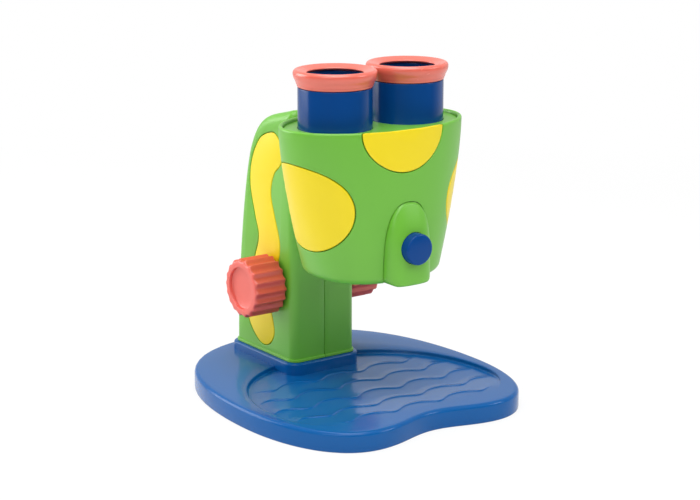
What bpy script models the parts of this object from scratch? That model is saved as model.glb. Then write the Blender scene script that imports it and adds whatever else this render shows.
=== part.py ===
"""Toy microscope for small children: a pond-shaped base, a two-shell column, and a head with two
eyepieces that a rack and pinion raises and lowers. Metres, +Z up, the nose of the head towards -Y,
origin under the middle of the base."""
import math

import bmesh
import bpy
from mathutils import Matrix, Vector
from mathutils.geometry import interpolate_bezier

MM = 0.001
GAP = 0.3 * MM            # between pieces that touch or seat
RUN = 0.6 * MM            # between pieces that slide past each other

# Base
BASE_WIDTH = 175.0 * MM
BASE_LENGTH = 197.0 * MM
BASE_THICKNESS = 12.0 * MM
BASE_EDGE_ROUND = 2.5 * MM
BASE_WIDEST_Y = -19.4 * MM
BASE_LOBE_X = 42.5 * MM
BASE_NOTCH = 8.2 * MM
BASE_BACK_ROUND = 62.8 * MM
BASE_SIDE_ROUND_BACK = 69.9 * MM
BASE_SIDE_ROUND_FRONT = 39.1 * MM
BASE_LOBE_ROUND_OUT = 32.3 * MM
BASE_LOBE_ROUND_IN = 17.2 * MM
BASE_NOTCH_ROUND = 14.9 * MM
BASE_RIM = 3.5 * MM
BASE_TOP_WALL = 3.1 * MM
BASE_RIB = 2.0 * MM
BASE_RIB_SPACING = 46.0 * MM
COVER_THICKNESS = 2.0 * MM
COVER_BOSS_RADIUS = 4.0 * MM
COVER_SCREW_INSET = 16.0 * MM

# Pond in the base
POND_MARGIN = 8.4 * MM
POND_WIDEST_Y = -40.0 * MM
POND_BACK = 79.0 * MM
POND_FRONT = 54.0 * MM
POND_POWER = 2.2
POND_DEPTH = 2.5 * MM
POND_RISE_Y = -44.0 * MM
POND_RISE_LENGTH = 36.0 * MM

# Column
COLUMN_WIDTH = 47.4 * MM
COLUMN_FRONT_Y = 19.7 * MM
COLUMN_DEPTH = 66.5 * MM
COLUMN_TOP_Z = 176.3 * MM
COLUMN_WALL = 3.0 * MM
COLUMN_ROUND = 5.5 * MM
COLUMN_FRONT_ROUND = 7.0 * MM
COLUMN_TOP_SLOPE = math.radians(15.5)
SHOULDER_BACK = 18.3 * MM
SHOULDER_DROP = 27.8 * MM
SHOULDER_ANGLE = math.radians(115.0)
SHOULDER_ROUND_BELOW = 20.0 * MM
SHOULDER_ROUND_ABOVE = 24.0 * MM
FOOT_ROUND = 42.0 * MM
TOP_ROUND = 22.0 * MM
COLLAR_HEIGHT = 5.0 * MM
COLLAR_MARGIN = 3.2 * MM
FOOT_FLANGE_HEIGHT = 1.6 * MM
FOOT_FLANGE_MARGIN = 0.9 * MM
FOOT_BOSS_HEIGHT = 11.0 * MM
FOOT_BOSS_HALF = 4.0 * MM
FOOT_SCREW_X = 15.5 * MM
FOOT_SCREW_INSET = 9.5 * MM

# Wavy inlay: the points of its outline, as shares of the column's depth and height
INLAY_WAVE = (
    (0.35, 0.893), (0.53, 0.86), (0.67, 0.772), (0.707, 0.665), (0.63, 0.545), (0.573, 0.464),
    (0.64, 0.38), (0.75, 0.256), (0.785, 0.16), (0.735, 0.09), (0.57, 0.031), (0.42, 0.033),
    (0.325, 0.08), (0.335, 0.132), (0.375, 0.19), (0.37, 0.27), (0.25, 0.375), (0.215, 0.464),
    (0.30, 0.57), (0.355, 0.652), (0.30, 0.73), (0.185, 0.778), (0.165, 0.842), (0.25, 0.886),
)
INLAY_THICKNESS = 1.5 * MM

# Focus drive
FOCUS_BEHIND = 22.3 * MM
FOCUS_Z = 64.2 * MM
FOCUS_TRAVEL = 12.0 * MM
GEAR_MODULE = 1.25 * MM
PINION_TEETH = 12
PRESSURE_ANGLE = math.radians(25.0)
GEAR_BACKLASH = 0.35 * MM
PINION_FACE = 9.0 * MM
PINION_BORE_CLEARANCE = 0.3 * MM
SHAFT_RADIUS = 3.0 * MM
SHAFT_IN_KNOB = 15.0 * MM
BEARING_WALL = 3.2 * MM
BEARING_RIB = 5.0 * MM
BEARING_END_PLAY = 1.5 * MM
KNOB_DIAMETER = 37.0 * MM
KNOB_LENGTH = 21.5 * MM
KNOB_STANDOFF = 1.6 * MM
KNOB_FLUTES = 18
KNOB_FLUTE_DEPTH = 1.7 * MM
KNOB_EDGE_ROUND = 2.2 * MM
KNOB_FACE_RADIUS = 13.0 * MM
KNOB_FACE_DEPTH = 2.2 * MM
KNOB_HUB_RADIUS = 7.0 * MM

# Carriage between the column and the head
GUIDE_HALF_WIDTH = 15.0 * MM
GUIDE_THICKNESS = 3.9 * MM
RAIL_THICKNESS = 2.6 * MM
RAIL_OVERLAP = 3.5 * MM
RAIL_TOP_CLEARANCE = 7.0 * MM
RACK_FACE = 10.0 * MM
RACK_SPARE_TEETH = 1
NECK_HALF_WIDTH = 6.5 * MM
NECK_HEIGHT = 42.0 * MM
FLANGE_HALF_WIDTH = 13.0 * MM
FLANGE_THICKNESS = 3.0 * MM
FLANGE_LIP = 3.0 * MM
FLANGE_SCREW_X = 9.8 * MM
FLANGE_SCREW_INSET = 7.0 * MM
PAD_SCREW_DEPTH = 6.0 * MM
COLUMN_CLEARANCE = 3.2 * MM

# Head
HEAD_Y = -28.8 * MM
HEAD_TOP_Z = 175.0 * MM
HEAD_HEIGHT = 91.0 * MM
HEAD_TOP_HALF_X = 60.0 * MM
HEAD_TOP_HALF_Y = 39.5 * MM
HEAD_TOP_POWER = 2.0
HEAD_FOOT_HALF_X = 39.5 * MM
HEAD_FOOT_HALF_Y = 34.0 * MM
HEAD_FOOT_POWER = 2.5
HEAD_TAPER = 1.46
HEAD_WALL = 4.0 * MM
HEAD_RIM_WALL = 2.6 * MM
HEAD_FLOOR = 3.5 * MM
HEAD_EDGE_ROUND = 4.5 * MM
HEAD_SIDES = 40
HEAD_STEPS = 4
HEAD_EDGE_STEPS = 2
DECK_DROP = 2.0 * MM
DECK_THICKNESS = 2.5 * MM

# Spots set in the head, as ellipses in angle round the head's axis and in height
SPOT_THICKNESS = 1.6 * MM
SIDE_SPOT_HALF_ANGLE = math.radians(42.0)
SIDE_SPOT_HALF_HEIGHT = 26.4 * MM
SIDE_SPOT_DROP = 46.3 * MM
FRONT_SPOT_HALF_ANGLE = math.radians(39.0)
FRONT_SPOT_HALF_HEIGHT = 24.0 * MM
FRONT_SPOT_DROP = 1.0 * MM
FRONT_SPOT_TURN = math.radians(-4.0)
SPOT_POINTS = 24
SPOT_CONE_REACH = 2.2

# Eyepieces
EYE_SPACING = 52.0 * MM
BARREL_RADIUS = 21.75 * MM
BARREL_BORE = 19.2 * MM
BARREL_RISE = 23.8 * MM
BARREL_FLANGE = 2.6 * MM
BARREL_FLANGE_HEIGHT = 2.7 * MM
NECK_STEP = 1.95 * MM
NECK_RISE = 6.5 * MM
EYECUP_RADIUS = 24.4 * MM
EYECUP_OPENING = 16.4 * MM
EYECUP_HEIGHT = 11.2 * MM
LENS_THICKNESS = 2.4 * MM
LENS_CROWN = 2.2 * MM
LENS_SEAT = 1.6 * MM
LENS_BELOW_TOP = 16.0 * MM
OBJECTIVE_RADIUS = 9.5 * MM
OBJECTIVE_LIP = 1.6 * MM
OBJECTIVE_CROWN = 0.4 * MM
OBJECTIVE_RING_WALL = 2.0 * MM
TURNED_SIDES = 24

# Light in the nose
NOSE_HALF_WIDTH = 15.4 * MM
NOSE_HEIGHT = 49.0 * MM
NOSE_ARCH = 32.0 * MM
NOSE_POWER = 2.5
NOSE_DROP = 1.0 * MM
NOSE_FRONT = 42.3 * MM
NOSE_WALL = 2.2 * MM
NOSE_SIDE_FRONT = 32.2 * MM
NOSE_PLAN_POWER = 3.4
NOSE_FOOT_ROUND = 3.5 * MM
NOSE_SLOPE_HEIGHT = 15.8 * MM
NOSE_SLOPE_DEPTH = 5.0 * MM
BUTTON_RADIUS = 9.2 * MM
BUTTON_RISE = 22.8 * MM
BUTTON_PROUD = 4.5 * MM
BUTTON_TRAVEL = 1.5 * MM
BUTTON_FLANGE = 0.9 * MM
BUTTON_FLANGE_THICKNESS = 0.9 * MM
BUTTON_FLANGE_INSET = 3.7 * MM
BUTTON_EDGE = 0.9 * MM
STEM_RADIUS = 2.5 * MM
STEM_LENGTH = 1.2 * MM
PLUNGER_RADIUS = 1.7 * MM
PLUNGER_LENGTH = 2.8 * MM
PLUNGER_IN_SWITCH = 0.9 * MM
SWITCH_HALF = 3.1 * MM
SWITCH_DEPTH = 4.8 * MM
BOARD_HALF_WIDTH = 9.0 * MM
BOARD_HEIGHT = 26.0 * MM
BOARD_THICKNESS = 1.6 * MM
LED_RADIUS = 2.5 * MM
LED_LENGTH = 8.0 * MM
LED_LEAD = 0.5 * MM
LED_LEAD_SPACING = 2.54 * MM
LED_FRONT = 37.1 * MM

# Battery box in the head
CELL_RADIUS = 5.25 * MM
CELL_LENGTH = 44.5 * MM
CELL_NUB_RADIUS = 1.9 * MM
CELL_NUB = 1.0 * MM
CELL_Y = 19.5 * MM
HOLDER_WALL = 1.2 * MM
CONTACT_THICKNESS = 0.6 * MM
DOOR_THICKNESS = 2.0 * MM
DOOR_TAB = 8.5 * MM
DOOR_TAB_HALF = 3.6 * MM

# Self-tapping screws
SCREW_RADIUS = 1.4 * MM
SCREW_HEAD_RADIUS = 2.6 * MM
SCREW_HEAD = 1.4 * MM
SCREW_SIDES = 8
HOLE_SIDES = 8
COLUMN_SCREW_BOSS = 4.0 * MM
COLUMN_SCREW_SHARES = ((0.51, 0.10), (0.46, 0.57), (0.42, 0.80))

# Places that follow from the sizes above
COLLAR_TOP_Z = BASE_THICKNESS + COLLAR_HEIGHT
FOOT_Z = COLLAR_TOP_Z + GAP
COLUMN_HALF = COLUMN_WIDTH / 2
COLUMN_HEIGHT = COLUMN_TOP_Z - FOOT_Z
FOCUS_Y = COLUMN_FRONT_Y + FOCUS_BEHIND
PITCH_RADIUS = GEAR_MODULE * PINION_TEETH / 2
BASE_HOLLOW_Z = BASE_THICKNESS - POND_DEPTH - BASE_TOP_WALL
HEAD_BOTTOM_Z = HEAD_TOP_Z - HEAD_HEIGHT
HEAD_FLOOR_Z = HEAD_BOTTOM_Z + HEAD_FLOOR
DECK_Z = HEAD_TOP_Z - DECK_DROP
DECK_UNDER_Z = DECK_Z - DECK_THICKNESS
BARREL_TOP_Z = DECK_Z + BARREL_RISE
NECK_TOP_Z = BARREL_TOP_Z + NECK_RISE
LENS_Z = NECK_TOP_Z - LENS_BELOW_TOP
NECK_MID_Z = HEAD_BOTTOM_Z + HEAD_HEIGHT / 2
FLANGE_BACK_Y = COLUMN_FRONT_Y - COLUMN_CLEARANCE
PAD_Y = FLANGE_BACK_Y - FLANGE_THICKNESS - GAP
GUIDE_FRONT_Y = COLUMN_FRONT_Y + COLUMN_WALL + RUN
GUIDE_BACK_Y = GUIDE_FRONT_Y + GUIDE_THICKNESS
NOSE_BOTTOM_Z = HEAD_BOTTOM_Z - NOSE_DROP
NOSE_FACE_Y = HEAD_Y - NOSE_FRONT
BUTTON_Z = NOSE_BOTTOM_Z + BUTTON_RISE
SCREW_HOLE = SCREW_RADIUS + GAP
SCREW_SINK = SCREW_HEAD_RADIUS + GAP

for leftover in list(bpy.data.objects):
    bpy.data.objects.remove(leftover, do_unlink=True)

PARTS = bpy.data.collections.new("toy_microscope")
CUTTERS = bpy.data.collections.new("cutters")
for group in (PARTS, CUTTERS):
    bpy.context.scene.collection.children.link(group)

BLUE = ((0.03, 0.13, 0.42), 0.38, 0.0)
DEEP_BLUE = ((0.01, 0.07, 0.30), 0.22, 0.0)
GREEN = ((0.16, 0.46, 0.05), 0.40, 0.0)
YELLOW = ((0.90, 0.72, 0.03), 0.38, 0.0)
CORAL = ((0.83, 0.20, 0.14), 0.45, 0.0)
CLEAR = ((0.75, 0.82, 0.88), 0.05, 0.0)
BLACK = ((0.03, 0.03, 0.03), 0.5, 0.0)
WHITE = ((0.85, 0.85, 0.82), 0.45, 0.0)
BOARD_GREEN = ((0.02, 0.18, 0.07), 0.5, 0.0)
STEEL = ((0.55, 0.56, 0.58), 0.3, 1.0)


def link(name, mesh, home):
    """An object for a mesh, in one of the two collections."""
    item = bpy.data.objects.new(name, mesh)
    home.objects.link(item)
    if home is CUTTERS:
        item.hide_render = True
        item.display_type = "WIRE"
    return item


def from_bmesh(name, shape, home):
    mesh = bpy.data.meshes.new(name)
    shape.to_mesh(mesh)
    shape.free()
    return link(name, mesh, home)


def box(name, low, high, home=CUTTERS):
    """A box between two corners."""
    low, high = Vector(low), Vector(high)
    place = Matrix.Translation((low + high) / 2) @ Matrix.Diagonal((*(high - low), 1.0))
    shape = bmesh.new()
    bmesh.ops.create_cube(shape, size=1.0, matrix=place)
    return from_bmesh(name, shape, home)


AXIS_TURNS = {
    "X": Matrix(((0, 0, 1, 0), (1, 0, 0, 0), (0, 1, 0, 0), (0, 0, 0, 1))),
    "Y": Matrix(((1, 0, 0, 0), (0, 0, -1, 0), (0, 1, 0, 0), (0, 0, 0, 1))),
    "Z": Matrix.Identity(4),
}


def along(axis, across, value):
    """The point at a value along a world axis and at two coordinates across it."""
    first, second = across
    if axis == "X":
        return Vector((value, first, second))
    if axis == "Y":
        return Vector((first, value, second))
    return Vector((first, second, value))


def rod(name, axis, across, low, high, radius, sides=24, home=CUTTERS):
    """A cylinder along a world axis, from low to high."""
    place = Matrix.Translation(along(axis, across, (low + high) / 2)) @ AXIS_TURNS[axis]
    shape = bmesh.new()
    bmesh.ops.create_cone(shape, cap_ends=True, segments=sides, radius1=radius, radius2=radius,
                          depth=high - low, matrix=place)
    return from_bmesh(name, shape, home)


def prism(name, axis, outline, low, high, home=CUTTERS):
    """A flat outline given thickness along a world axis: a filled 2D curve made into a mesh."""
    curve = bpy.data.curves.new(name, "CURVE")
    curve.dimensions = "2D"
    curve.fill_mode = "BOTH"
    curve.extrude = (high - low) / 2
    spline = curve.splines.new("POLY")
    spline.points.add(len(outline) - 1)
    for point, (first, second) in zip(spline.points, outline):
        point.co = (first, second, 0.0, 1.0)
    spline.use_cyclic_u = True
    drawn = bpy.data.objects.new(name + "_curve", curve)
    CUTTERS.objects.link(drawn)
    bpy.context.view_layer.update()
    solid = bpy.data.meshes.new_from_object(drawn.evaluated_get(bpy.context.evaluated_depsgraph_get()))
    bpy.data.objects.remove(drawn, do_unlink=True)
    solid.transform(Matrix.Translation(along(axis, (0.0, 0.0), (low + high) / 2)) @ AXIS_TURNS[axis])
    shape = bmesh.new()
    shape.from_mesh(solid)
    bpy.data.meshes.remove(solid)
    bmesh.ops.remove_doubles(shape, verts=shape.verts, dist=1e-6)
    bmesh.ops.dissolve_limit(shape, angle_limit=1e-3, verts=shape.verts, edges=shape.edges)
    bmesh.ops.recalc_face_normals(shape, faces=shape.faces)
    return from_bmesh(name, shape, home)


def round_rim(item, axis, value, width, steps):
    """Rounds the edges of a solid that lie at one value along an axis."""
    number = "XYZ".index(axis)
    shape = bmesh.new()
    shape.from_mesh(item.data)
    rim = [e for e in shape.edges if all(abs(v.co[number] - value) < 1e-6 for v in e.verts)]
    bmesh.ops.bevel(shape, geom=rim, offset=width, segments=steps, profile=0.5, affect="EDGES",
                    clamp_overlap=True)
    shape.to_mesh(item.data)
    shape.free()
    return item


def turned(name, profile, centre, home=PARTS, sides=TURNED_SIDES, closed=False, turn=None):
    """A turned piece: (radius, height) pairs down the outside, spun about the object's own Z."""
    mesh = bpy.data.meshes.new(name)
    points = [(radius, 0.0, height) for radius, height in profile]
    edges = [(k, k + 1) for k in range(len(points) - 1)]
    if closed:
        edges.append((len(points) - 1, 0))
    mesh.from_pydata(points, edges, [])
    item = link(name, mesh, home)
    item.location = centre
    if turn:
        item.rotation_euler = turn
    spin = item.modifiers.new("spin", "SCREW")
    spin.steps = spin.render_steps = sides
    spin.use_merge_vertices = True
    spin.merge_threshold = 1e-5
    spin.use_smooth_shade = True
    return item


def loft(name, rings, home=CUTTERS):
    """A solid through rings of equal length, from the lowest to the highest."""
    shape = bmesh.new()
    loops = [[shape.verts.new(point) for point in ring] for ring in rings]
    for lower, upper in zip(loops, loops[1:]):
        for k in range(len(lower)):
            follow = (k + 1) % len(lower)
            shape.faces.new((lower[k], lower[follow], upper[follow], upper[k]))
    shape.faces.new(list(reversed(loops[0])))
    shape.faces.new(loops[-1])
    bmesh.ops.recalc_face_normals(shape, faces=shape.faces)
    return from_bmesh(name, shape, home)


def combine(item, operation, *tools):
    """Adds one Boolean modifier for each tool."""
    for tool in tools:
        step = item.modifiers.new(tool.name, "BOOLEAN")
        step.operation = operation
        step.object = tool
    return item


def cut(item, *tools):
    return combine(item, "DIFFERENCE", *tools)


def join(item, *tools):
    return combine(item, "UNION", *tools)


def smooth(item, degrees=35.0):
    """Smooth shading with sharp edges kept."""
    item.data.shade_smooth()
    item.data.set_sharp_from_angle(angle=math.radians(degrees))
    return item


def dress(item, finish, parent):
    """A piece's own material, and the empty that it moves with."""
    colour, roughness, metallic = finish
    material = bpy.data.materials.new(item.name)
    material.use_nodes = True
    shader = material.node_tree.nodes["Principled BSDF"]
    shader.inputs["Base Color"].default_value = (*colour, 1.0)
    shader.inputs["Roughness"].default_value = roughness
    shader.inputs["Metallic"].default_value = metallic
    item.data.materials.append(material)
    item.parent = parent
    item.matrix_parent_inverse = parent.matrix_world.inverted()
    return item


def empty(name, place):
    item = bpy.data.objects.new(name, None)
    PARTS.objects.link(item)
    item.location = place
    bpy.context.view_layer.update()
    return item


def inset(outline, distance):
    """A closed outline, drawn counter-clockwise, moved inwards by a distance."""
    moved = []
    for k, here in enumerate(outline):
        back = Vector(here) - Vector(outline[k - 1])
        ahead = Vector(outline[(k + 1) % len(outline)]) - Vector(here)
        normal_back = Vector((-back.y, back.x)).normalized()
        normal_ahead = Vector((-ahead.y, ahead.x)).normalized()
        mitre = (normal_back + normal_ahead).normalized()
        moved.append(Vector(here) + mitre * distance / max(mitre.dot(normal_ahead), 0.5))
    return [(point.x, point.y) for point in moved]


def bezier(start, start_handle, end_handle, end, steps):
    """Points of a Bezier stretch without its last one."""
    flat = [Vector((*point, 0.0)) for point in (start, start_handle, end_handle, end)]
    return [(point.x, point.y) for point in interpolate_bezier(*flat, steps + 1)[:-1]]


def spline_through(points, steps):
    """A closed smooth curve through points (Catmull-Rom)."""
    drawn = []
    count = len(points)
    for k in range(count):
        before, start, end, after = (Vector(points[(k + j) % count]) for j in (-1, 0, 1, 2))
        drawn += bezier(start, start + (end - before) / 6, end - (after - start) / 6, end, steps)
    return drawn


def signed_power(value, power):
    return math.copysign(abs(value) ** power, value)


def oval(half_x, half_y, power, count):
    """A superellipse about the origin, counter-clockwise."""
    points = []
    for k in range(count):
        angle = 2 * math.pi * k / count
        points.append((half_x * signed_power(math.cos(angle), 2 / power),
                       half_y * signed_power(math.sin(angle), 2 / power)))
    return points


def round_rectangle(low, high, radius, steps=4):
    """A rectangle with round corners, counter-clockwise."""
    points = []
    corners = ((high[0], low[1], -90), (high[0], high[1], 0), (low[0], high[1], 90), (low[0], low[1], 180))
    for corner_x, corner_y, start in corners:
        centre_x = corner_x - math.copysign(radius, corner_x - (low[0] + high[0]) / 2)
        centre_y = corner_y - math.copysign(radius, corner_y - (low[1] + high[1]) / 2)
        for k in range(steps + 1):
            angle = math.radians(start + 90.0 * k / steps)
            points.append((centre_x + radius * math.cos(angle), centre_y + radius * math.sin(angle)))
    return points


def screw(name, axis, across, seat, length, parent):
    """A self-tapping screw: its head lies before the seat, and its shank runs past it by a length
    that is negative where the screw points down the axis."""
    way = math.copysign(1.0, length)
    profile = [(0.0, SCREW_HEAD), (SCREW_HEAD_RADIUS, SCREW_HEAD), (SCREW_HEAD_RADIUS, 0.0),
               (SCREW_RADIUS, 0.0), (SCREW_RADIUS, SCREW_RADIUS - abs(length)), (0.0, -abs(length))]
    turns = {"X": (0.0, -way * math.pi / 2, 0.0), "Y": (way * math.pi / 2, 0.0, 0.0),
             "Z": (math.pi * (way > 0), 0.0, 0.0)}
    item = turned(name, profile, along(axis, across, seat), sides=SCREW_SIDES, turn=turns[axis])
    return dress(item, STEEL, parent)


STAND = empty("stand", (0.0, 0.0, 0.0))
FOCUS = empty("focus_axis", (0.0, FOCUS_Y, FOCUS_Z))
HEAD = empty("head_axis", (0.0, HEAD_Y, HEAD_BOTTOM_Z))
BUTTON = empty("button_axis", (0.0, NOSE_FACE_Y, BUTTON_Z))


# Base: one moulding with a hollow underside, closed by a flat cover

def base_outline():
    """Half the outline as three Bezier stretches from the back to the front notch, then mirrored."""
    half, back, front = BASE_WIDTH / 2, BASE_LENGTH / 2, -BASE_LENGTH / 2
    side = (half, BASE_WIDEST_Y)
    lobe = (BASE_LOBE_X, front)
    notch = (0.0, front + BASE_NOTCH)
    right = bezier((0.0, back), (BASE_BACK_ROUND, back), (half, BASE_WIDEST_Y + BASE_SIDE_ROUND_BACK), side, 8)
    right += bezier(side, (half, BASE_WIDEST_Y - BASE_SIDE_ROUND_FRONT),
                    (BASE_LOBE_X + BASE_LOBE_ROUND_OUT, front), lobe, 7)
    right += bezier(lobe, (BASE_LOBE_X - BASE_LOBE_ROUND_IN, front), (BASE_NOTCH_ROUND, notch[1]), notch, 4)
    left = [(-x, y) for x, y in right[1:]]
    return left + [notch] + right[::-1]


def pond_cutter():
    """The pond: a rounded outline with a level floor that rises to the base's top at the front."""
    half = BASE_WIDTH / 2 - POND_MARGIN
    outline = []
    for x, y in oval(half, 1.0, POND_POWER, 28):
        outline.append((x, POND_WIDEST_Y + y * (POND_BACK if y > 0 else POND_FRONT)))
    floor_z = BASE_THICKNESS - POND_DEPTH
    cutter = prism("pond", "Z", outline, floor_z, 2 * BASE_THICKNESS)
    front_y = POND_WIDEST_Y - 2 * POND_FRONT
    front_z = floor_z + POND_DEPTH * (POND_RISE_Y - front_y) / POND_RISE_LENGTH
    rise = [(POND_RISE_Y, floor_z), (front_y, front_z), (front_y, 0.0), (POND_RISE_Y, 0.0)]
    cut(cutter, prism("pond_rise", "X", rise, -BASE_WIDTH, BASE_WIDTH))
    return cutter


def column_footprint(margin):
    return round_rectangle((-COLUMN_HALF - margin, COLUMN_FRONT_Y - margin),
                           (COLUMN_HALF + margin, COLUMN_FRONT_Y + COLUMN_DEPTH + margin),
                           COLUMN_ROUND + margin)


def foot_screw_places():
    back = COLUMN_FRONT_Y + COLUMN_DEPTH - FOOT_SCREW_INSET
    return [(x, y) for x in (-FOOT_SCREW_X, FOOT_SCREW_X) for y in (COLUMN_FRONT_Y + FOOT_SCREW_INSET, back)]


def cover_screw_places():
    """Four places on lines from the middle to the base's quarters, a set distance inside its edge."""
    places = []
    for side in (-1, 1):
        for reach_y in (BASE_LENGTH / 2, -BASE_LENGTH / 2):
            spot = Vector((side * BASE_WIDTH / 2, reach_y)) * 0.707
            places.append(tuple(spot - spot.normalized() * COVER_SCREW_INSET))
    return places


def build_base():
    outline = base_outline()
    plate = prism("base_plate", "Z", outline, 0.0, BASE_THICKNESS, home=PARTS)
    round_rim(plate, "Z", BASE_THICKNESS, BASE_EDGE_ROUND, 2)
    collar = prism("collar", "Z", column_footprint(COLLAR_MARGIN), BASE_HOLLOW_Z, COLLAR_TOP_Z)
    round_rim(collar, "Z", COLLAR_TOP_Z, BASE_EDGE_ROUND / 2, 2)
    cut(plate, pond_cutter())
    join(plate, collar)

    under = -BASE_THICKNESS
    seat_z = COVER_THICKNESS + GAP
    seat = prism("cover_seat", "Z", inset(outline, BASE_RIM), under, seat_z)
    hollow = prism("base_hollow", "Z", inset(outline, 2 * BASE_RIM), under, BASE_HOLLOW_Z)
    for k, offset in enumerate((-BASE_RIB_SPACING / 2, BASE_RIB_SPACING / 2), 1):
        cut(hollow, box(f"rib_y{k}", (offset - BASE_RIB / 2, -BASE_LENGTH, seat_z),
                        (offset + BASE_RIB / 2, BASE_LENGTH, BASE_THICKNESS)))
        cut(hollow, box(f"rib_x{k}", (-BASE_WIDTH, offset - BASE_RIB / 2, seat_z),
                        (BASE_WIDTH, offset + BASE_RIB / 2, BASE_THICKNESS)))
    for k, place in enumerate(cover_screw_places(), 1):
        cut(hollow, rod(f"cover_boss_{k}", "Z", place, seat_z, BASE_THICKNESS, COVER_BOSS_RADIUS, HOLE_SIDES))
    cut(plate, seat, hollow)
    dress(smooth(plate), BLUE, STAND)

    cover = prism("base_cover", "Z", inset(outline, BASE_RIM + GAP), 0.0, COVER_THICKNESS, home=PARTS)
    for k, place in enumerate(cover_screw_places(), 1):
        pilot_z = BASE_HOLLOW_Z + SCREW_RADIUS
        pilot = rod(f"cover_hole_{k}", "Z", place, under, pilot_z, SCREW_HOLE, HOLE_SIDES)
        cut(plate, pilot)
        cut(cover, pilot, rod(f"cover_sink_{k}", "Z", place, under, SCREW_HEAD + GAP, SCREW_SINK, HOLE_SIDES))
        screw(f"base_cover_screw_{k}", "Z", place, SCREW_HEAD, pilot_z - GAP - SCREW_HEAD, STAND)
    for k, place in enumerate(foot_screw_places(), 1):
        cut(plate, rod(f"foot_hole_{k}", "Z", place, under, FOOT_Z, SCREW_HOLE, HOLE_SIDES))
        screw(f"foot_screw_{k}", "Z", place, BASE_HOLLOW_Z - GAP,
              FOOT_Z + FOOT_BOSS_HEIGHT - 3 * SCREW_RADIUS - BASE_HOLLOW_Z, STAND)
    dress(smooth(cover), BLUE, STAND)


# Column: two shells that meet on the middle plane, with rails, bearings and bosses inside

def column_side(shrink=0.0):
    """The column's side view as (y, z) points from the front foot over the top to the back foot,
    moved inwards by a wall. A shrunk outline runs on below the foot, so that it cuts an opening."""
    top = COLUMN_TOP_Z
    front_turn = COLUMN_FRONT_ROUND
    slope = Vector((math.cos(COLUMN_TOP_SLOPE), -math.sin(COLUMN_TOP_SLOPE)))
    ridge = Vector((0.0, top)) + slope * front_turn
    shoulder = Vector((COLUMN_DEPTH - SHOULDER_BACK, top - SHOULDER_DROP))
    lean = Vector((math.cos(SHOULDER_ANGLE), math.sin(SHOULDER_ANGLE)))
    heel = Vector((COLUMN_DEPTH, FOOT_Z))
    line = bezier((0.0, top - front_turn), (0.0, top - front_turn / 2), (0.0, top), ridge, 4)
    line += bezier(ridge, ridge + slope * TOP_ROUND, shoulder + lean * SHOULDER_ROUND_ABOVE, shoulder, 8)
    line += bezier(shoulder, shoulder - lean * SHOULDER_ROUND_BELOW, heel + Vector((0.0, FOOT_ROUND)), heel, 8)
    closed = [(0.0, FOOT_Z)] + line + [tuple(heel)]
    if shrink:
        low = FOOT_Z - COLLAR_HEIGHT
        deep = [(0.0, low)] + line + [tuple(heel), (COLUMN_DEPTH, low)]
        closed = inset(deep[::-1], shrink)
    return [(COLUMN_FRONT_Y + y, z) for y, z in closed]


def column_share(share):
    """A place on the column's side from its shares of depth and height."""
    return (COLUMN_FRONT_Y + share[0] * COLUMN_DEPTH, FOOT_Z + share[1] * COLUMN_HEIGHT)


def inlay_outline():
    return spline_through([column_share(share) for share in INLAY_WAVE], 2)[::-1]


def spread(side, near, far):
    """Low and high X of a stretch between two distances from the middle, on one side."""
    return (near, far) if side > 0 else (-far, -near)


def side_box(name, side, near, far, low, high):
    """A box on one side of the column, between (y, z) corners."""
    low_x, high_x = spread(side, near, far)
    return box(name, (low_x, *low), (high_x, *high))


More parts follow.
